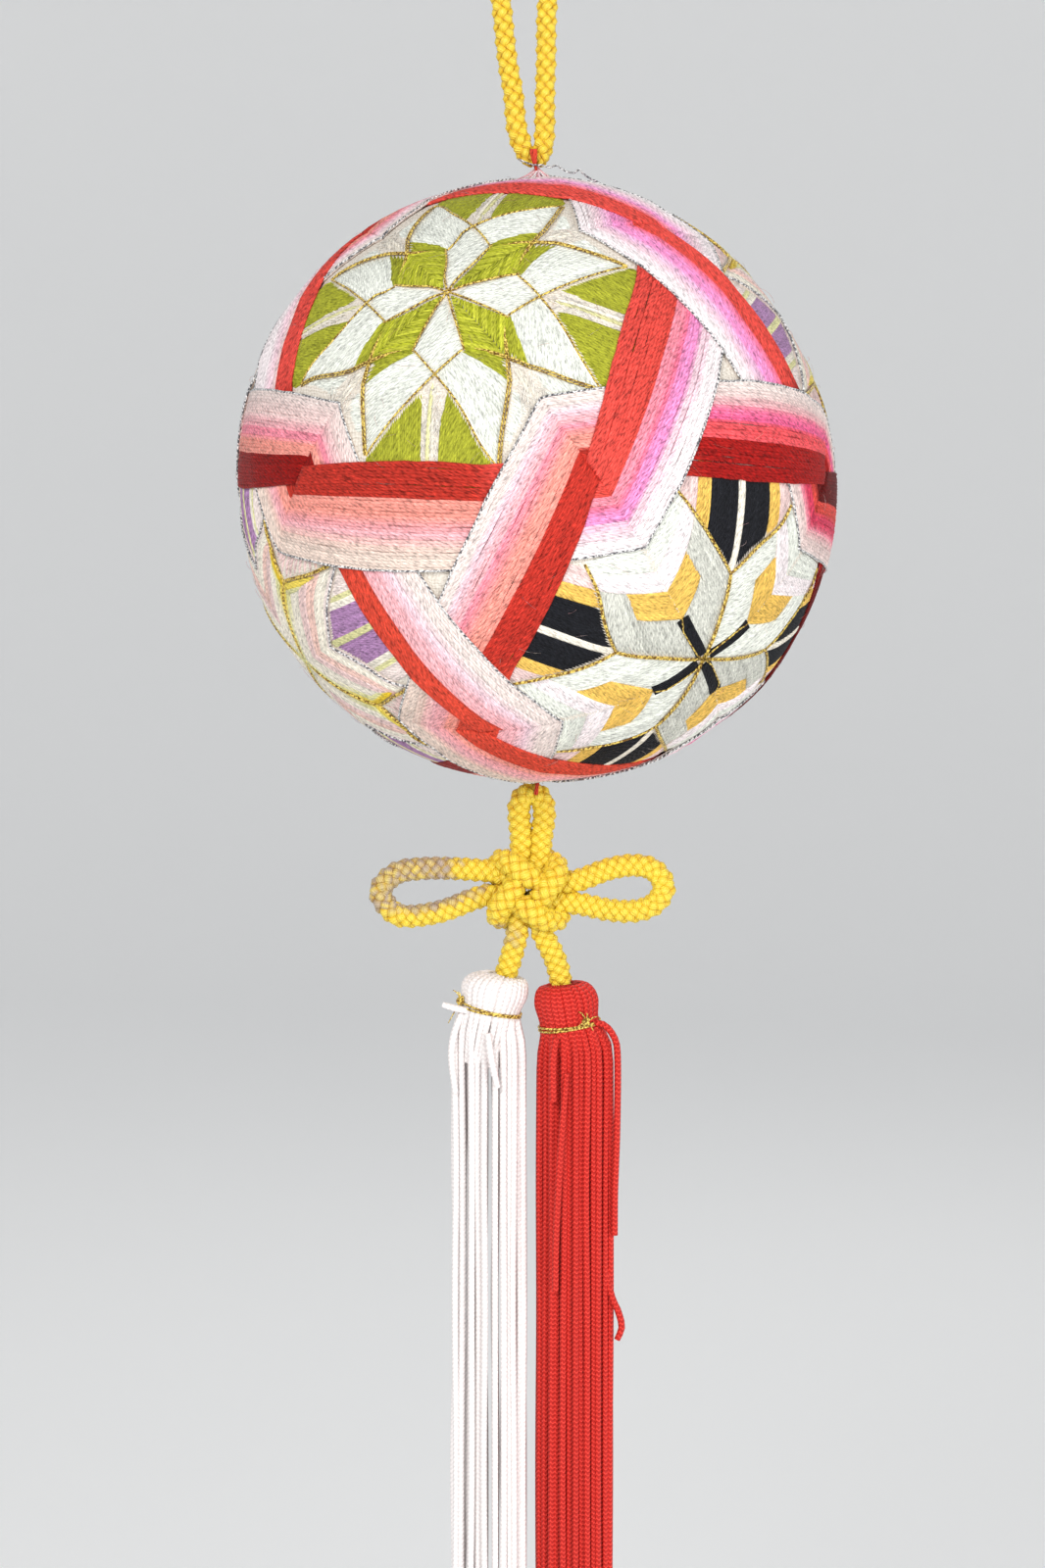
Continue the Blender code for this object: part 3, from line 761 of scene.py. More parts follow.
class Pattern:
    """The stitches of one face. Spots are drawn in its right quarter, in degrees from its
    middle, and turned to the quarter at hand. Dyes are given by name, as a colour, or as
    a function of the spots or of the share of a fan that is done."""

    def __init__(self, threads, metals, name):
        self.threads = threads
        self.metals = metals
        self.name = name
        self.quarter = 0
        self.mirror = False

    def quarters(self):
        for self.quarter in range(4):
            yield self.quarter

    def halves(self):
        """Each half of a quarter, the second one mirrored over the quarter's axis."""
        for self.mirror in (False, True):
            yield self.mirror
        self.mirror = False

    def turned(self, spots, mirror=None):
        mirror = self.mirror if mirror is None else mirror
        result = []
        for x, y in spots:
            y = -y if mirror else y
            for _ in range(self.quarter):
                x, y = -y, x
            result.append((x, y))
        return result

    def lay(self, spots, dye, thick=THREAD, lift=0.0, dip=0.5, onto=None):
        """A straight or bent thread through spots that are already turned."""
        spots = np.array(spots, float)
        parts = []
        for start, end in zip(spots, spots[1:]):
            count = max(1, math.ceil(np.linalg.norm(end - start) / STITCH_STEP))
            parts.append(start + (end - start) * np.arange(count)[:, None] / count)
        dense = np.vstack((*parts, spots[-1]))
        ways = ways_from(self.name, PULLS[self.name](dense) if self.name in PULLS else dense)
        sink = dipped(len(dense), dip)
        if isinstance(dye, str):
            dye = DYES[dye]
        colour = dye(dense) if callable(dye) else dye
        (onto or self.threads).lay(on_ball(ways, MOTIF_BASE + lift - sink), thick,
                                   colour * (1 + rng.normal(0, DYE_VARIES)))

    def stitch(self, spots, dye, **more):
        self.lay(self.turned(spots), dye, **more)

    def metal(self, name, thick, lift, *spots):
        """A line of gold or silver thread."""
        self.lay(self.turned(spots), name, thick, lift, onto=self.metals[name])

    def fan(self, count, dye, lift, *corners):
        """Threads side by side from the side p0-p1 to the side p3-p2."""
        p0, p1, p2, p3 = (np.array(p, float) for p in self.turned(corners))
        for i in range(count):
            share = (i + 0.5) / count
            jitter = rng.normal(0, 0.1, 2)
            self.lay((p0 + (p1 - p0) * share + jitter[0] * unit(p3 - p0),
                      p3 + (p2 - p3) * share + jitter[1] * unit(p3 - p0)),
                     dye(share) if callable(dye) else dye, lift=lift)

    def hatch(self, corners, slope, dye, lift=0.0, mirror=None):
        """Parallel threads across a convex patch, at a slope in degrees."""
        corners = np.array(self.turned(corners, mirror), float)
        way = np.array((math.cos(math.radians(slope)), math.sin(math.radians(slope))))
        side = np.array((-way[1], way[0]))
        levels = corners @ side
        level = levels.min() + PITCH * 0.5
        while level < levels.max():
            cuts = []
            for here, there in zip(corners, np.roll(corners, -1, 0)):
                a, b = here @ side - level, there @ side - level
                if a * b < 0:
                    cuts.append(here + (there - here) * (a / (a - b)))
            if len(cuts) == 2 and np.linalg.norm(cuts[0] - cuts[1]) > 0.5:
                cuts.sort(key=lambda p: p @ way)
                self.lay([cut + way * rng.normal(0, 0.1) for cut in cuts], dye, lift=lift)
            level += PITCH

    def wedge(self, foot, flare, far, low, high, dye):
        """Hatching beside the quarter's diagonal, from low to high across it. It starts
        at foot and ends at far along it, and its start slants out by flare."""
        side = -1 if self.mirror else 1
        patch = from_diagonal(((foot + low * flare, low * side),
                               (foot + high * flare, high * side),
                               (far, high * side), (far, low * side)))
        self.hatch(patch, 45 + 90 * self.quarter, dye, mirror=False)

    def fibres(self, count, slope, spread, *corners):
        """Fine crossing fibres of the wound ball that show in a gap of the pattern."""
        corners = np.array(self.turned(corners), float)
        for _ in range(count):
            at = rng.dirichlet(np.ones(len(corners))) @ corners
            angle = math.radians(slope + rng.choice((-1, 1)) * abs(rng.normal(spread, 9)))
            reach = rng.uniform(0.8, 2.4)
            way = np.array((math.cos(angle), math.sin(angle))) * reach
            self.lay((at - way, at + way), "wrap", thick=rng.uniform(0.1, 0.2),
                     lift=0.02 + rng.uniform(0, 0.2), dip=0.25)


def green_face(face):
    """Green diamonds, eight white petals, green lobes and a star of gold thread."""
    rounds = 19
    lobe = ((12.1, 15.6), (12.0, 33.5), (17.0, 35.5), (25.5, 28.5), (13.4, 16.8))
    for quarter in face.quarters():
        # The diamond, as nested bent stitches
        for level in range(rounds):
            share = (level + 0.6) / rounds
            bend, rise = 1.2 + 11.1 * share, 4.9 * share
            face.stitch(((bend, rise), (1.2 + 18.8 * share, 0), (bend, -rise)),
                        DYES["leaf" if level % 3 else "moss"] * rng.uniform(0.85, 1.15),
                        lift=0.22)
        # Its border, a petal, the field beside it, the gold star and a lobe
        for mirror in face.halves():
            face.fan(5, "green", 0.05, (12.2, 4.9), (12.0, 6.2), (23.4, 2.2), (19.4, 0.2))
            face.fan(17, "petal", 0.15, (11.7, 11.8), (12.0, 5.6), (22.9, 2.3), (32.6, 12.0))
            face.hatch(((23.2, 2.0), (32.8, 11.9), (29.4, 1.8)), 60 if quarter % 2 else 30,
                       "petal", lift=-0.1)
            face.metal("gold", 0.26, 0.5, (5.2, 11.9), (18.0, 12.0), (32.7, 11.9))
            face.metal("gold", 0.26, 0.62, (32.6, 11.9), (23.0, 2.5), (13.6, -3.4))
            face.metal("gold", 0.2, 0.56, (32.9, 11.5), (23.2, 2.0), (14.4, -3.2))
            face.metal("gold", 0.26, 0.55, (0.2, 0.1), (12.3, 5.0))
            half = [(y, x) for x, y in lobe] if mirror else lobe
            face.hatch(half, 45 + 90 * quarter, "green", mirror=False)
        # The inner petal, and the gaps between lobes and behind the diamond's tip
        face.hatch(((0.9, 0.9), (5.0, 11.9), (11.6, 11.7), (11.9, 5.0)),
                   (10 if quarter % 2 else 80) + 90 * quarter, "petal", lift=0.1)
        face.fibres(70, 45 + 90 * quarter, 24, (12.6, 12.6), (12.6, 15.8), (24.2, 28.0),
                    (28.0, 24.2), (15.8, 12.6))
        for shift, dye in ((-0.3, "lime"), (0.3, "ivory")):
            face.stitch(from_diagonal(((18.5, shift), (38, shift * 2))), dye, lift=0.05)
        face.fibres(46, 90 * quarter, 30, (20.0, 0), (29.5, 3.4), (29.5, -3.4))
        for shift in (-0.25, 0.25):
            face.stitch(((20.4, shift), (29.5, shift * 2)), "ivory", lift=0.05)


def black_face(face):
    """Four arrow petals with an ochre chevron each, and black fields between them."""
    for quarter in face.quarters():
        pale = "petal" if quarter % 2 else "grey"
        # Half an arrow petal, its chevron in three colours, gold and the field beside it
        for _ in face.halves():
            level = 0.7
            while level < 12.0:
                end = 10.5 + level * 0.9 if level < 6.8 else 23.0 + (level - 6.8) * 0.74
                face.stitch(((level + 0.3, level), (end, level)), pale, lift=0.1)
                level += PITCH
            face.fan(12, "ochre", 0.16, (10.5, 0.0), (18.0, 0.0), (23.0, 6.8), (16.6, 6.8))
            face.fan(9, "white", 0.1, (18.2, 0.0), (23.2, 0.0), (30.0, 11.9), (26.9, 11.9))
            face.fan(10, "petal", 0.05, (23.4, 0.0), (29.6, 0.0), (33.2, 11.9), (30.2, 11.9))
            face.metal("gold", 0.27, 0.5, (12.3, 12.3), (22.0, 12.2), (32.7, 11.8))
            face.metal("gold", 0.2, 0.42, (12.2, 12.5), (22.0, 12.5), (32.7, 12.0))
            for band in ((0.9, 7.2, "black"), (7.2, 10.4, "ochre"), (10.4, 14.0, "shell")):
                face.wedge(17.6, 0.94, 38.5, *band)
        # Ivory and gold between the petals, a black bar in each, gold at its foot
        for shift in (-0.55, 0.0, 0.55):
            face.stitch(from_diagonal(((17.9, shift * 0.6), (38, shift))), "ivory", lift=0.12)
        for shift in (-1.0, -0.5, 0.0, 0.5, 1.0):
            face.stitch(((1.4, shift * 0.8), (10.7, shift)), "black", lift=0.34, thick=0.36,
                        dip=0.2)
        face.metal("gold", 0.2, 0.72, (0.2, 0.2), (2.5, 0.9), (8.5, 1.1), (10.8, 0.1))
        for shift in (-0.18, 0.18):
            face.metal("gold", 0.24, 0.5, *from_diagonal(((0.1, shift), (17.5, shift))))
        face.metal("gold", 0.24, 0.75, (-1.3, -1.0), (1.3, 1.0))


def forking(strong, weak):
    """A dye that is strong where the gold lines fork and weak towards the face's middle."""
    def dye(spots):
        share = ramp(np.hypot(spots[:, 0], spots[:, 1]), 10.0, 19.0)[:, None]
        return DYES[strong] * share + DYES[weak] * (1 - share)
    return dye


def purple_face(face):
    """Four kites of nested corners in pale threads, with purple in their notches."""
    nested = ((2, forking("straw", "lime")), (3, forking("lime", "ivory")), (5, "ivory"),
              (4, "shell"), (4, "peach"), (5, "ivory"), (2, "milk"))
    dyes = [dye for count, dye in nested for _ in range(count)]
    for _ in face.quarters():
        # The kite, from its middle outward, edged in silver and gold
        for level, dye in enumerate(dyes):
            at = 0.5 + level * 0.49
            flare = 21.0 + at * 0.96
            face.stitch(((at, flare), (at, at), (flare, at)), dye, lift=0.12)
        face.metal("silver", 0.3, 0.55, (12.6, 34.0), (12.5, 12.5), (34.0, 12.6))
        face.metal("gold", 0.3, 0.5, (0.1, 0.5), (0.0, 21.0))
        face.metal("gold", 0.2, 0.45, (0.4, 0.5), (0.4, 21.0))
        # Gold forks, the bright threads inside them and half of the purple notch
        for mirror in face.halves():
            face.metal("gold", 0.28, 0.52, (21.0, 0.0), (27.0, 6.2), (34.2, 13.3))
            face.metal("gold", 0.2, 0.46, (21.4, 0.0), (27.4, 6.2), (34.4, 12.8))
            bright = "straw" if mirror else "yellow"
            for step, dye, reach in ((0.8, bright, 7.5), (1.3, bright, 7.0),
                                     (1.8, "straw", 6.5), (2.3, "lime", 6.0),
                                     (2.8, "lime", 5.4)):
                face.stitch(((21.0 - step, 0.3), (21.0 - step + reach, 0.3 + reach * 1.02)),
                            dye, lift=0.3)
            for band in ((0.7, 6.3, "purple"), (6.3, 7.8, "ivory"), (7.8, 9.0, "lime"),
                         (9.0, 12.5, "milk")):
                face.wedge(17.7, 1.0, 39.0, *band)
            face.fan(10, lambda share: "shell" if share < 0.6 else "peach", 0.0,
                     (21.6, 0.2), (33.6, 12.2), (34.0, 10.0), (30.0, 0.2))
        for shift in (-0.4, 0.1, 0.5):
            face.stitch(from_diagonal(((18.0, shift), (39, shift))), "lime", lift=0.08)


FACE_PATTERNS = {"green": green_face, "black": black_face, "purple": purple_face}


def plain_mesh(name, places, faces, finish):
    """An object of a smooth mesh with one finish."""
    mesh = bpy.data.meshes.new(name)
    mesh.from_pydata(places, [], faces)
    mesh.shade_smooth()
    mesh.materials.append(finish)
    made = bpy.data.objects.new(name, mesh)
    bpy.context.scene.collection.objects.link(made)
    return made


def core_ball():
    """The wound ball itself, a little inside the stitches."""
    rows, turns = 60, 96
    spots = [(0.0, 0.0, 1.0)]
    for i in range(1, rows):
        for k in range(turns):
            tilt, turn = math.pi * i / rows, 2 * math.pi * k / turns
            spots.append((math.sin(tilt) * math.cos(turn), math.sin(tilt) * math.sin(turn),
                          math.cos(tilt)))
    spots.append((0.0, 0.0, -1.0))
    places = (on_ball(np.array(spots), np.full(len(spots), CORE_LIFT)) - (0, 0, HANG)) * MM
    faces = []
    base = 1 + (rows - 2) * turns
    for k in range(turns):
        following = (k + 1) % turns
        faces.append((0, 1 + k, 1 + following))
        for i in range(rows - 2):
            a, b = 1 + i * turns + k, 1 + i * turns + following
            faces.append((a, a + turns, b + turns, b))
        faces.append((base + k, len(spots) - 1, base + following))
    return plain_mesh("wound_ball", places.tolist(), faces, wound_core())


def lay_fuzz(threads):
    """Fine fibres that stand off the stitched surface."""
    t = np.linspace(0, 1, 5)[:, None]
    for _ in range(FUZZ):
        way = unit(rng.normal(0, 1, 3))
        side = unit(np.cross(way, rng.normal(0, 1, 3)))
        length = rng.uniform(2.0, 6.0)
        height = rng.uniform(0.2, 1.2)
        bend = rng.normal(0, 0.5)
        ways = unit(way + side * t * length / BALL_SIZE
                    + np.cross(way, side) * t * t * bend * 0.02)
        lift = 0.1 + height * np.sin(t[:, 0] * math.pi * rng.uniform(0.5, 0.95))
        threads.lay(on_ball(ways, lift), 0.035,
                    DYES[rng.choice(("shell", "rose", "salmon", "cream"))])


def lay_crown(threads):
    """Threads that the hanging stitch pulls up into a small peak."""
    for _ in range(CROWN_THREADS):
        turn = rng.uniform(0, 2 * math.pi)
        out = rng.uniform(1.2, 6.4)
        foot = np.array((math.cos(turn), math.sin(turn), 0.0)) * out / BALL_SIZE
        start = on_ball(unit(foot + (0.003, 0.0, 1.0))[None], np.array((0.1,)))[0]
        peak = np.array((0.2, 0.0, 76.4)) + rng.normal(0, 0.15, 3)
        half = start + (peak - start) * 0.5 - (0.0, 0.0, 0.35)
        threads.lay_smooth([(*row, 1.0) for row in (start, half, peak)], 1.0, 0.3,
                           DYES[rng.choice(("white", "blush", "rose", "milk"))])


# ---- Cords

# Cord routes: right, up, back if it isn't 0, thickness if it isn't 1.
# The loop, from the left foot over the hook to the right foot
LOOP_ROUTE = (
    (-0.8, 77.1, 0.0, 0.3), (-1.3, 77.9, 0.0, 0.66), (-2.0, 79.0, 0.0, 0.85),
    (-2.9, 80.7, 0.0, 0.98), (-3.8, 82.8, 0.0, 1.05), (-5.0, 87.2, 0.0, 1.03),
    (-5.7, 95.0, 0.0, 1.02), (-7.1, 102.6), (-8.7, 117.6), (-10.4, 130.0), (-9.7, 140.6),
    (-5.7, 149.0), (0.0, 152.0), (5.7, 149.0), (9.0, 140.6), (7.6, 130.0), (3.9, 122.5),
    (2.6, 115.0), (2.4, 102.6), (2.15, 95.0), (2.1, 87.2, 0.0, 1.03), (1.9, 82.8, 0.0, 1.03),
    (1.5, 80.7, 0.0, 0.96), (1.2, 79.0, 0.0, 0.84), (0.9, 77.9, 0.0, 0.64),
    (0.5, 77.1, 0.0, 0.3),
)
# The knot's stretches, from the middle of its hole
TOP_EAR = (
    (-2.6, 3.4), (-2.5, 5.5), (-1.9, 9.0), (-1.5, 12.4), (-2.1, 17.8), (-2.2, 21.0),
    (-1.1, 23.5), (0.9, 24.5), (3.0, 23.5), (4.1, 21.0), (4.1, 17.8), (3.4, 13.0),
    (3.1, 9.0), (2.7, 5.5), (2.6, 3.4),
)
LEFT_EAR = (
    (-3.4, 2.7), (-5.5, 3.2), (-8.5, 4.6), (-12.9, 5.1, -0.3), (-19.0, 5.5, -0.6),
    (-26.0, 5.5, -0.8), (-32.8, 4.4, -0.9), (-37.0, -0.2, -0.9), (-34.0, -5.3, -0.8),
    (-30.0, -6.6, -0.6), (-21.6, -5.3, -0.4), (-12.9, -2.0, -0.2), (-8.5, -1.1),
    (-5.5, -2.2), (-3.4, -2.6),
)
RIGHT_EAR = (
    (3.4, 2.7), (5.5, 2.5), (8.5, 1.9), (11.9, 2.2, 0.3), (16.0, 3.6, 0.5),
    (20.2, 5.2, 0.6), (26.0, 6.2, 0.7), (31.4, 5.2, 0.7), (34.3, 0.9, 0.7),
    (32.0, -3.4, 0.6), (27.2, -5.3, 0.5), (20.7, -5.1, 0.4), (14.1, -3.7, 0.2), (9.0, -3.0),
    (5.5, -2.7), (3.4, -2.6),
)
LEFT_TAIL = (
    (-2.6, -3.4), (-2.5, -5.5), (-2.4, -9.5), (-3.9, -16.2), (-5.1, -20.0),
    (-5.7, -22.1, 0.0, 0.92), (-6.0, -24.0, 0.0, 0.8),
)
RIGHT_TAIL = (
    (2.6, -3.4), (2.8, -5.5), (3.6, -10.5), (6.6, -16.7), (7.9, -20.8),
    (8.5, -24.4, 0.0, 0.92), (8.8, -26.2, 0.0, 0.8),
)
CORNER_FRONT = (
    # the front half of a strand that rounds a corner
    (-3.9, 6.9, -3.9, 1.08), (-0.2, 4.3, -4.9, 1.08), (2.4, 2.9, -2.9, 1.0),
    (4.8, 2.4, -0.5, 0.8),
)
CORNER_TIPS = ((-6.7, 7.4), (6.9, 6.5), (7.7, -7.1), (-7.3, -6.8))


def corner_route(corner):
    """A corner strand's front half, its tip and the reflected half behind."""
    front, behind = [], []
    for right, up, back, thickness in CORNER_FRONT:
        far_right, far_up = -up, -right
        for _ in range(corner):
            right, up = up, -right
            far_right, far_up = far_up, -far_right
        front.append((right, up, back, thickness))
        behind.append((far_right, far_up, -back, thickness))
    return [*reversed(behind), CORNER_TIPS[corner], *front]


def cord_route(rows, step, right=0.0, up=0.0):
    """A smooth route through a table's rows, moved to the right and up."""
    whole = [(*row, *(0.0, 1.0)[len(row) - 2:]) for row in rows]
    return smooth_route([(right + x, back, up + z, thickness)
                         for x, z, back, thickness in whole], step)


def braid(threads, route, radius, lay, dye):
    """Eight strands that plait round a cord, four each way, over and under in turn.
    A filling inside closes the gaps between them; its colour is painted shade that shows there."""
    places, share = route[:, :3], route[:, 3]
    across, other = carried_frames(places)
    gone = travelled(places)
    turn = 2 * math.pi * gone / lay
    swing = np.cos(8 * math.pi * gone / lay)
    for hand in (1, -1):
        for strand in range(4):
            angle = hand * turn + strand * math.pi / 2
            spoke = across * np.cos(angle)[:, None] + other * np.sin(angle)[:, None]
            out = radius * share * (STRAND_OUT + hand * STRAND_SWING * swing)
            line = places + spoke * out[:, None]
            colour = dye(line) if callable(dye) else dye
            under = ((0.5 - hand * 0.5 * swing) ** 1.6)[:, None]
            colour = colour * (1 - under * UNDER_SHADE)
            plump = STRAND_SIZE * (1 + hand * PLUMPER * swing)
            threads.lay(line, radius * share * plump, colour, spoke)
    # The filling's dye is painted shade, for the gaps between the strands
    threads.lay(places, radius * share * CORE_SHARE, DYES["gap_shade_amber"], across)


def knot_stain(line):
    """Colour of the knot's cord, browned round the left ear and at the left tail's top."""
    left = KNOT_CENTRE[0] - line[:, 0]
    up = line[:, 2] - KNOT_CENTRE[1]
    blot = (1.3 * np.sin(left * 1.9 + up * 2.3) + 0.9 * np.sin(left * 0.8 - up * 1.7)
            + rng.normal(0, 0.8, len(up)))
    lower = np.interp(left, (8.5, 12.9, 21.6, 30.0, 34.0), (-1.1, -2.0, -5.3, -6.6, -5.3))
    upper_leg = ramp(left + blot, 17.0, 20.0) * ramp(up, -1.0, 1.0)
    tip = ramp(left, 30.5, 33.0) * ramp(up + 0.3 * blot, -6.5, -4.0)
    inner_side = (ramp(left + blot, 9.5, 13.0) * ramp(up - lower + 0.3 * blot, 0.0, 1.2)
                  * (1 - ramp(up, 0.5, 2.0)))
    tail = (0.6 * ramp(left, 1.0, 3.0) * ramp(-up + 0.5 * blot, 7.0, 9.0)
            * (1 - ramp(-up, 12.0, 15.0)) * (left < 9))
    mottle = (np.sin(left * 3.3 + up * 1.6) * np.sin(up * 3.4 - left * 1.2)
              + 0.5 * np.sin(left * 6.1 + up * 4.7))
    share = np.maximum.reduce((upper_leg, tip, inner_side, tail))
    share = np.clip(share * (0.76 + 0.5 * mottle), 0, 0.96)[:, None]
    return DYES["cord"] * (1 - share) + DYES["stain"] * share


# ---- Tassels

TASSELS = {
    # x, z and lean: the neck's place and how many degrees its top leans to the right.
    # skirt, deep and columns: the skirt's middle, its depth each way, and where strands
    # hang, sideways from that middle, so that gaps stay open. sway: how far they wave.
    # pit: how far the head's hollow is off its middle. grow and plump: the head's height
    # and width against the tables below. dye: the strands' dye, whose name their material also
    # bears.
    "white_tassel": {"x": -11.4, "z": -133.0, "lean": 12.0, "skirt": -12.1, "pit": 2.2,
                     "grow": 0.92, "plump": 0.95, "sway": 0.2, "dye": "white_strand", "deep": 6.0,
                     "columns": (-8.3, -6.7, -4.3, -2.7, -0.9, 1.9, 3.9, 5.2, 6.4, 7.7, 8.9)},
    "red_tassel": {"x": 8.4, "z": -136.9, "lean": -8.0, "skirt": 9.8, "pit": -0.8,
                   "grow": 1.08, "plump": 0.9, "sway": 0.12, "dye": "red_strand", "deep": 7.5,
                   "columns": (-8.9, -7.4, -6.0, -4.5, -2.9, -1.4, 0.1, 1.5, 3.0, 4.6, 6.1,
                               7.5, 8.9)},
}
HEAD_LINE = (
    # radius, height above the neck, share of the pit's sideways move
    (2.6, 6.6, 1.0), (3.1, 8.6, 1.0), (4.6, 9.6, 0.8), (6.3, 8.9, 0.4), (7.4, 7.3, 0.1),
    (7.9, 5.2, 0.0), (7.6, 3.2, 0.0), (6.9, 1.4, 0.0), (6.6, 0.0, 0.0), (6.8, -1.6, 0.0),
)
# The filling inside a head, and the folds' way from the neck down: radius and height
HEAD_FILLING = ((5.4, -12.0), (6.0, -7.0), (6.3, -2.5), (6.4, 0.0), (7.1, 3.0), (7.4, 5.2),
                (6.4, 7.6), (4.0, 8.2))
HEAD_FOLDS = 28
FOLD_FOOT = ((6.9, -3.4), (6.8, -6.5), (6.0, -10.5), (5.2, -14.0))
# A strand below the neck: the drop in mm, and how far out to its place it is, of 1
HANGING = ((1.6, 0.3), (3.8, 0.65), (7.0, 0.92), (12.0, 1.0), (40.0, 1.0), (75.0, 1.0),
           (115.0, 1.0), (155.0, 1.0))


def leaning(spec):
    """A tassel's neck, and its own up and right."""
    lean = math.radians(spec["lean"])
    neck = np.array((spec["x"], 0.0, spec["z"]))
    upward = np.array((math.sin(lean), 0.0, math.cos(lean)))
    rightward = np.array((math.cos(lean), 0.0, -math.sin(lean)))
    return neck, upward, rightward


def head_spot(spec, radius, height, share, angle):
    neck, upward, rightward = leaning(spec)
    height = height * (spec["grow"] if height > 0 else 1.0)
    spoke = rightward * math.cos(angle) + BACK * math.sin(angle)
    radius = radius * np.interp(height, (0.0, 3.0), (1.0, spec["plump"]))
    return neck + upward * height + rightward * spec["pit"] * share + spoke * radius


def hanging_rows(spec, root, place, end):
    """The rest of a strand below the tie: it swings to its place, then hangs straight."""
    _, upward, _ = leaning(spec)
    sway = rng.normal(0, spec["sway"], 4)
    rows = []
    for drop, opened in HANGING:
        leant = root - upward * drop
        wave = opened * (sway[0] * math.sin(drop / 31 + sway[1] * 9)
                         + sway[2] * math.sin(drop / 13 + sway[3] * 9))
        height = leant[2] if opened < 1 else spec["z"] - drop
        if height > end + 3:
            rows.append((leant[0] + (place[0] - leant[0]) * opened + wave,
                         leant[1] + (place[1] - leant[1]) * opened + 0.5 * wave, height, 1.0))
    rows.append((rows[-1][0] + rng.normal(0, 0.3), rows[-1][1], end, 0.96))
    return rows


def skirt_places(spec):
    """Where each strand hangs, seen from above: front, middle and back in every column."""
    places = []
    for number, across in enumerate(spec["columns"]):
        deep = spec["deep"] * math.sqrt(max(0.0, 1 - (across / SKIRT_HALF) ** 2))
        stagger = 0.7 if number % 2 else -0.3
        shift = 1.4 * math.sin(number * 2.4)
        middle = (shift - 2.2, shift + 2.2)
        if deep < 5.5:
            middle = (0.6 * shift,) if deep >= 3.5 else ()
        for depth in (-deep, *middle, deep):
            places.append((spec["skirt"] + across + rng.normal(0, 0.12), depth + stagger))
    return places


def lay_tassel(threads, spec):
    """Folds over the head, strands down through the tie, and the strands of the skirt."""
    dye = DYES[spec["dye"]]
    neck, upward, rightward = leaning(spec)
    filling = np.array([(*(neck + upward * height * spec["grow"]),
                         radius * (spec["plump"] if height > 1 else 1.0))
                        for radius, height in HEAD_FILLING])
    # The filling is dyed darker than the strands: painted shade inside the head, seen between the
    # folds
    threads.lay(filling[:, :3], filling[:, 3], dye * 0.86, rightward)
    for k in range(HEAD_FOLDS):
        angle = 2 * math.pi * (k + rng.normal(0, 0.1)) / HEAD_FOLDS
        rows = [(*head_spot(spec, r, height, share, angle),
                 0.62 + 0.6 * min(1.0, (r - 2.6) / 5)) for r, height, share in HEAD_LINE]
        rows += [(*head_spot(spec, r, height, 0.0, angle), 0.9 - 0.03 * number ** 2)
                 for number, (r, height) in enumerate(FOLD_FOOT)]
        threads.lay_smooth(rows, 1.2, STRAND_RADIUS, dye * (1 + rng.normal(0, 0.02)),
                           (math.cos(angle), math.sin(angle), 0.3))
    for place in skirt_places(spec):
        away = np.array((place[0] - spec["skirt"], place[1]))
        reach = min(1.0, NECK_REACH / max(1e-6, float(np.hypot(*away))))
        root = neck + rightward * away[0] * reach + BACK * (away[1] * reach)
        end = SKIRT_END + rng.normal(0, 1.2)
        rows = [(*(root + upward * 1.0), 0.85), *hanging_rows(spec, root, place, end)]
        threads.lay_smooth(rows, 4.0, STRAND_RADIUS, dye * (1 + rng.normal(0, 0.03)),
                           TO_VIEWER)


def lay_routes(threads, routes, step, radius, dye):
    """Threads seen from the front, through rows of right, back, up and thickness."""
    for rows in routes:
        threads.lay_smooth([(*row, 1.0)[:4] for row in rows], step, radius, dye, TO_VIEWER)


def lay_tie(threads, spec, knot_at, wisps):
    """Gold thread wound round the neck, its knot, and the ends that stand off it."""
    neck, upward, rightward = leaning(spec)
    angle = np.linspace(0, 4 * math.pi, 110)
    spoke = rightward * np.cos(angle)[:, None] + BACK * np.sin(angle)[:, None]
    height = 0.42 * np.sin(angle / 3 + 1.0) + 0.12 * np.sin(angle * 2.3)
    threads.lay(neck + spoke * TIE_RADIUS + upward * height[:, None], TIE_THREAD,
                DYES["gold"], spoke)
    at = np.array(knot_at)
    turn = np.linspace(0, 2 * math.pi, 14)
    for loop in range(3):
        ring = np.stack((np.cos(turn) * 0.8, np.sin(turn) * 0.5 - 0.2,
                         np.sin(turn + 0.7 * loop) * 0.7 + 0.25 * loop), 1)
        threads.lay(at + ring, 0.26, DYES["gold"], TO_VIEWER)
    t = np.linspace(0, 1, 7)[:, None]
    bend = np.array((0.3, -0.4, 0.5)) * np.sin(t * math.pi)
    for tip in wisps:
        threads.lay(at + (np.array(tip) - at) * t + bend, np.linspace(0.24, 0.12, 7),
                    DYES["gold"], TO_VIEWER)


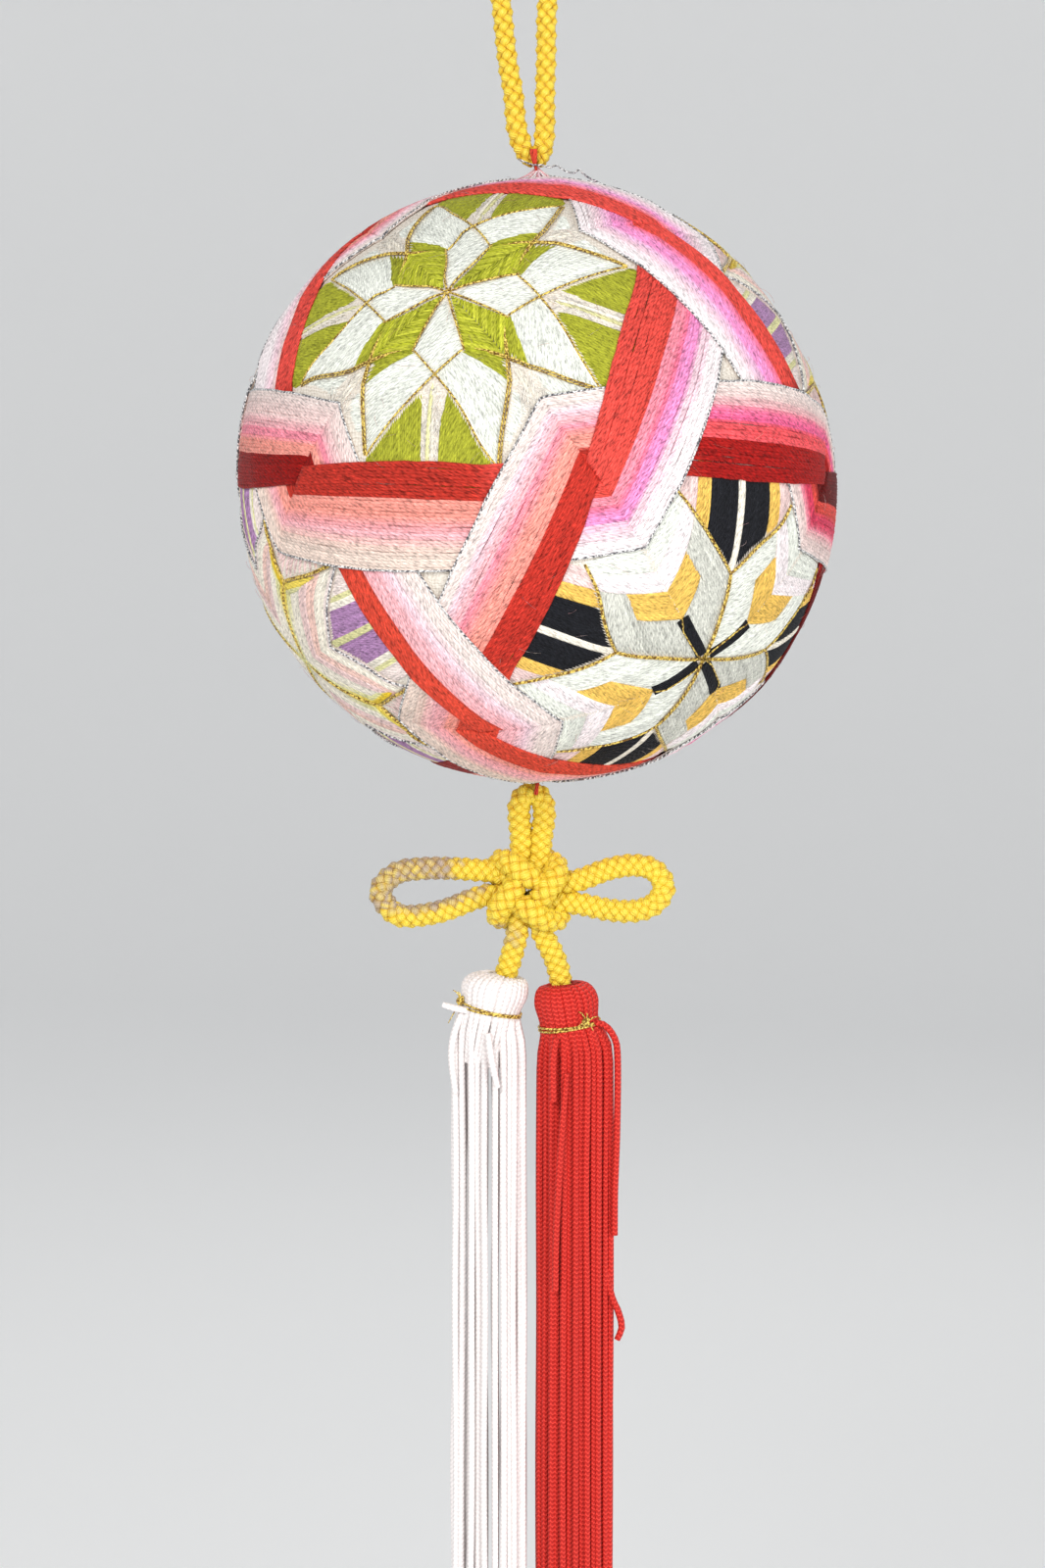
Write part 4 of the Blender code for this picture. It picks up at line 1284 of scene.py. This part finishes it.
# Strands that came loose: right, back, up and, if it isn't 1, thickness along each
LOOSE = {"white_tassel": (
    ((-16.6, -4.6, -132.9, 0.9), (-18.6, -4.8, -132.5), (-21.0, -5.2, -131.9),
     (-23.4, -5.4, -131.1, 0.8)),
    ((-18.6, -3.6, -133.4, 0.9), (-20.5, -5.0, -138.5), (-21.2, -5.0, -144.5),
     (-20.2, -4.6, -153.6, 0.9)),
    ((-12.0, -8.3, -138.0, 0.9), (-11.2, -8.8, -144.0, 1.1), (-9.6, -8.6, -151.6, 0.9)),
), "red_tassel": (
    ((13.6, -4.0, -135.8, 0.9), (16.8, -4.6, -136.2), (19.3, -4.8, -139.0),
     (20.4, -4.8, -144.0), (20.3, -4.8, -163.0), (19.8, -4.8, -178.0),
     (19.7, -4.8, -189.6)),
    ((17.0, -3.0, -196.0, 0.9), (19.0, -4.4, -205.0), (20.7, -4.8, -209.0),
     (21.6, -5.0, -213.0), (20.4, -5.0, -216.2, 0.9)),
    ((5.0, -8.4, -139.0, 0.9), (4.2, -9.2, -145.0, 1.05), (4.3, -9.2, -154.9)),
    ((7.6, -8.2, -148.0, 0.9), (6.0, -9.3, -170.0), (5.0, -9.3, -190.0),
     (4.8, -9.2, -203.0)),
)}
# Where each tie is knotted, and the tips of its loose ends
TIES = {
    "white_tassel": ((-19.0, -3.6, -130.4), ((-20.8, -4.4, -127.6), (-19.6, -4.6, -128.0),
                                             (-22.0, -4.0, -136.0), (-21.0, -4.8, -134.0))),
    "red_tassel": ((12.4, -6.6, -135.4), ((10.6, -7.6, -132.6), (12.6, -7.8, -132.9),
                                          (15.4, -6.6, -134.0), (9.4, -8.2, -137.2),
                                          (14.2, -7.4, -137.4))),
}

# Red thread that sews the loop on top and the knot below, and a stray end of silver:
# right, back and up along each
TOP_STITCHES = tuple(
    ((across, -2.9, 81.0), (across * 0.85, -3.1, 79.4), (across * 0.4 - 0.1, -2.4, 77.5),
     (0.12, -0.9, 75.6))
    for across in (-1.4, -1.05, -0.7, -0.35, 0.0))
BOTTOM_STITCHES = (
    ((0.0, -0.6, -74.6), (0.05, -2.4, -75.6), (-0.1, -3.1, -77.2), (-0.3, -2.8, -78.6)),
    ((0.35, -0.6, -74.6), (0.3, -2.5, -75.6), (0.15, -3.2, -77.3), (0.0, -2.9, -78.8)),
    ((0.7, -0.6, -74.6), (0.6, -2.4, -75.6), (0.4, -3.1, -77.1), (0.3, -2.8, -78.5)),
)
STRAY_SILVER = ((-4.5, -2.4, 78.6), (-2.5, -2.9, 77.7), (-0.7, -2.9, 77.1), (1.4, -2.4, 77.1),
                (3.4, -1.8, 76.6), (4.9, -1.6, 77.1), (6.4, -1.4, 76.3), (7.6, -1.2, 75.6),
                (9.4, -1.0, 75.3), (10.6, -1.0, 76.1), (11.5, -1.0, 75.2),
                (13.3, -1.0, 73.9), (15.1, -1.0, 73.1), (16.9, -1.2, 71.9))


# ---- Studio

def studio():
    """Camera, lamps and pale surroundings that stand in for the photo's light."""
    scene = bpy.context.scene

    def placed(name, data, place, turn):
        made = bpy.data.objects.new(name, data)
        made.location, made.rotation_euler = place, turn
        scene.collection.objects.link(made)
        return made

    lens = bpy.data.cameras.new("camera")
    lens.sensor_width, lens.lens = 36.0, FOCAL
    lens.clip_start, lens.clip_end = 0.01, 50.0
    scene.camera = placed("camera", lens, EYE,
                          (math.radians(90 - LOOK_DOWN), 0.0, math.radians(LOOK_LEFT)))
    for name, place, size, power in LAMPS:
        lamp = bpy.data.lights.new(name, "AREA")
        lamp.size, lamp.energy = size, power
        aim = unit(LAMP_AIM - np.array(place))
        placed(name, lamp, place,
               (math.acos(-aim[2]), 0.0, math.atan2(aim[0], -aim[1]) + math.pi))
    world = bpy.data.worlds.new("studio")
    world.use_nodes = True
    sky = world.node_tree.nodes["Background"].inputs
    sky["Color"].default_value = (0.9, 0.92, 0.95, 1)
    sky["Strength"].default_value = 0.3
    scene.world = world
    scene.view_settings.view_transform = "Standard"


def studio_bowl():
    """A pale floor whose edge curves up far away on all sides."""
    line = [(0.0, FLOOR),
            *((2.6 + 1.2 * math.sin(a), FLOOR + 1.2 * (1 - math.cos(a)))
              for a in np.linspace(0, math.pi / 2, 13)),
            (3.8, 2.6)]
    turns = 48
    places, faces = [], []
    for i, (radius, height) in enumerate(line):
        for k in range(turns):
            angle = 2 * math.pi * k / turns
            places.append((radius * math.cos(angle), radius * math.sin(angle), height))
            if i:
                here, following = (i - 1) * turns + k, (i - 1) * turns + (k + 1) % turns
                faces.append((here, following, following + turns, here + turns))
    floor = plain_mesh("studio_floor", places, faces, studio_floor())


def settle(piece, slot, *nodes):
    """Fix a piece to the part, in place of the solids it shows. Its slot is not used."""
    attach(piece, "root")
    if nodes:
        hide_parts(*nodes)


def main():
    studio()
    studio_bowl()
    thread, yarn = stitched_thread(), braided_yarn()
    # Each tassel's strands: the strength of their painted stitch shading, and the colour of its
    # painted highlight
    strands = {"white_tassel": knitted_strand("white_strand", 0.08, (1.0, 1.0, 1.0)),
               "red_tassel": knitted_strand("red_strand", 0.21, (1.0, 0.26, 0.2))}
    # The dark and the bright colour of each metal thread's painted reflections
    gold = metal_thread("gold_thread", linear(122, 82, 14), linear(255, 224, 112))
    silver = metal_thread("silver_thread", linear(86, 86, 92), linear(250, 248, 246))

    threads = Threads()
    braid(threads, cord_route(LOOP_ROUTE, 0.5), LOOP_CORD / 2, LOOP_LAY, DYES["cord"])
    loop = sweep("hanging_loop_braid", threads, yarn, 8, 0.72)
    settle(loop, "yellow_braid", "hanging_loop")
    path = (cord_route(LOOP_ROUTE, 2.0)[:, :3] - (0, 0, HANG)) * MM
    length = float(travelled(path)[-1])

    threads = Threads()
    for rows in (*map(corner_route, range(4)), LEFT_EAR, TOP_EAR, RIGHT_EAR, LEFT_TAIL,
                 RIGHT_TAIL):
        braid(threads, cord_route(rows, 0.42, *KNOT_CENTRE), KNOT_CORD / 2, KNOT_LAY,
              knot_stain)
    settle(sweep("knot_braid", threads, yarn, 8, 0.72), "yellow_braid", "knot")

    settle(core_ball(), "ball_threads", "ball")
    metals = {"silver": Threads(), "gold": Threads()}
    for pair, draw in FACE_PATTERNS.items():
        bands, fills = Threads(), Threads()
        for face in (f"{pair}_front", f"{pair}_back"):
            lay_bands(bands, metals["silver"], face)
            draw(Pattern(fills, metals, face))
        settle(sweep(f"{pair}_bands", bands, thread, height=0.95, width=1.2), "ball_threads")
        settle(sweep(f"{pair}_faces", fills, thread, height=0.94, width=1.2), "ball_threads")
    settle(sweep("silver_edges", metals["silver"], silver, 5), "ball_threads")
    settle(sweep("gold_lines", metals["gold"], gold, 5), "ball_threads")
    for name, lay, sides in (("ball_fuzz", lay_fuzz, 3), ("crown_threads", lay_crown, 5)):
        threads = Threads()
        lay(threads)
        settle(sweep(name, threads, thread, sides), "ball_threads")

    for name, spec in TASSELS.items():
        threads = Threads()
        lay_tassel(threads, spec)
        lay_routes(threads, LOOSE[name], 1.6, STRAND_RADIUS, DYES[spec["dye"]])
        settle(sweep(f"{name}_strands", threads, strands[name], 8), spec["dye"], name)
        threads = Threads()
        lay_tie(threads, spec, *TIES[name])
        settle(sweep(f"{name}_gold_tie", threads, gold), "gold_thread", f"{name}_tie")

    for name, routes, radius, dye, finish, sides in (
            ("red_stitches", (*TOP_STITCHES, *BOTTOM_STITCHES), 0.27, "vermilion", thread, 6),
            ("stray_silver", (STRAY_SILVER,), 0.24, "silver", silver, 5)):
        threads = Threads()
        lay_routes(threads, routes, 0.5, radius, DYES[dye])
        settle(sweep(name, threads, finish, sides), "ball_threads")


main()
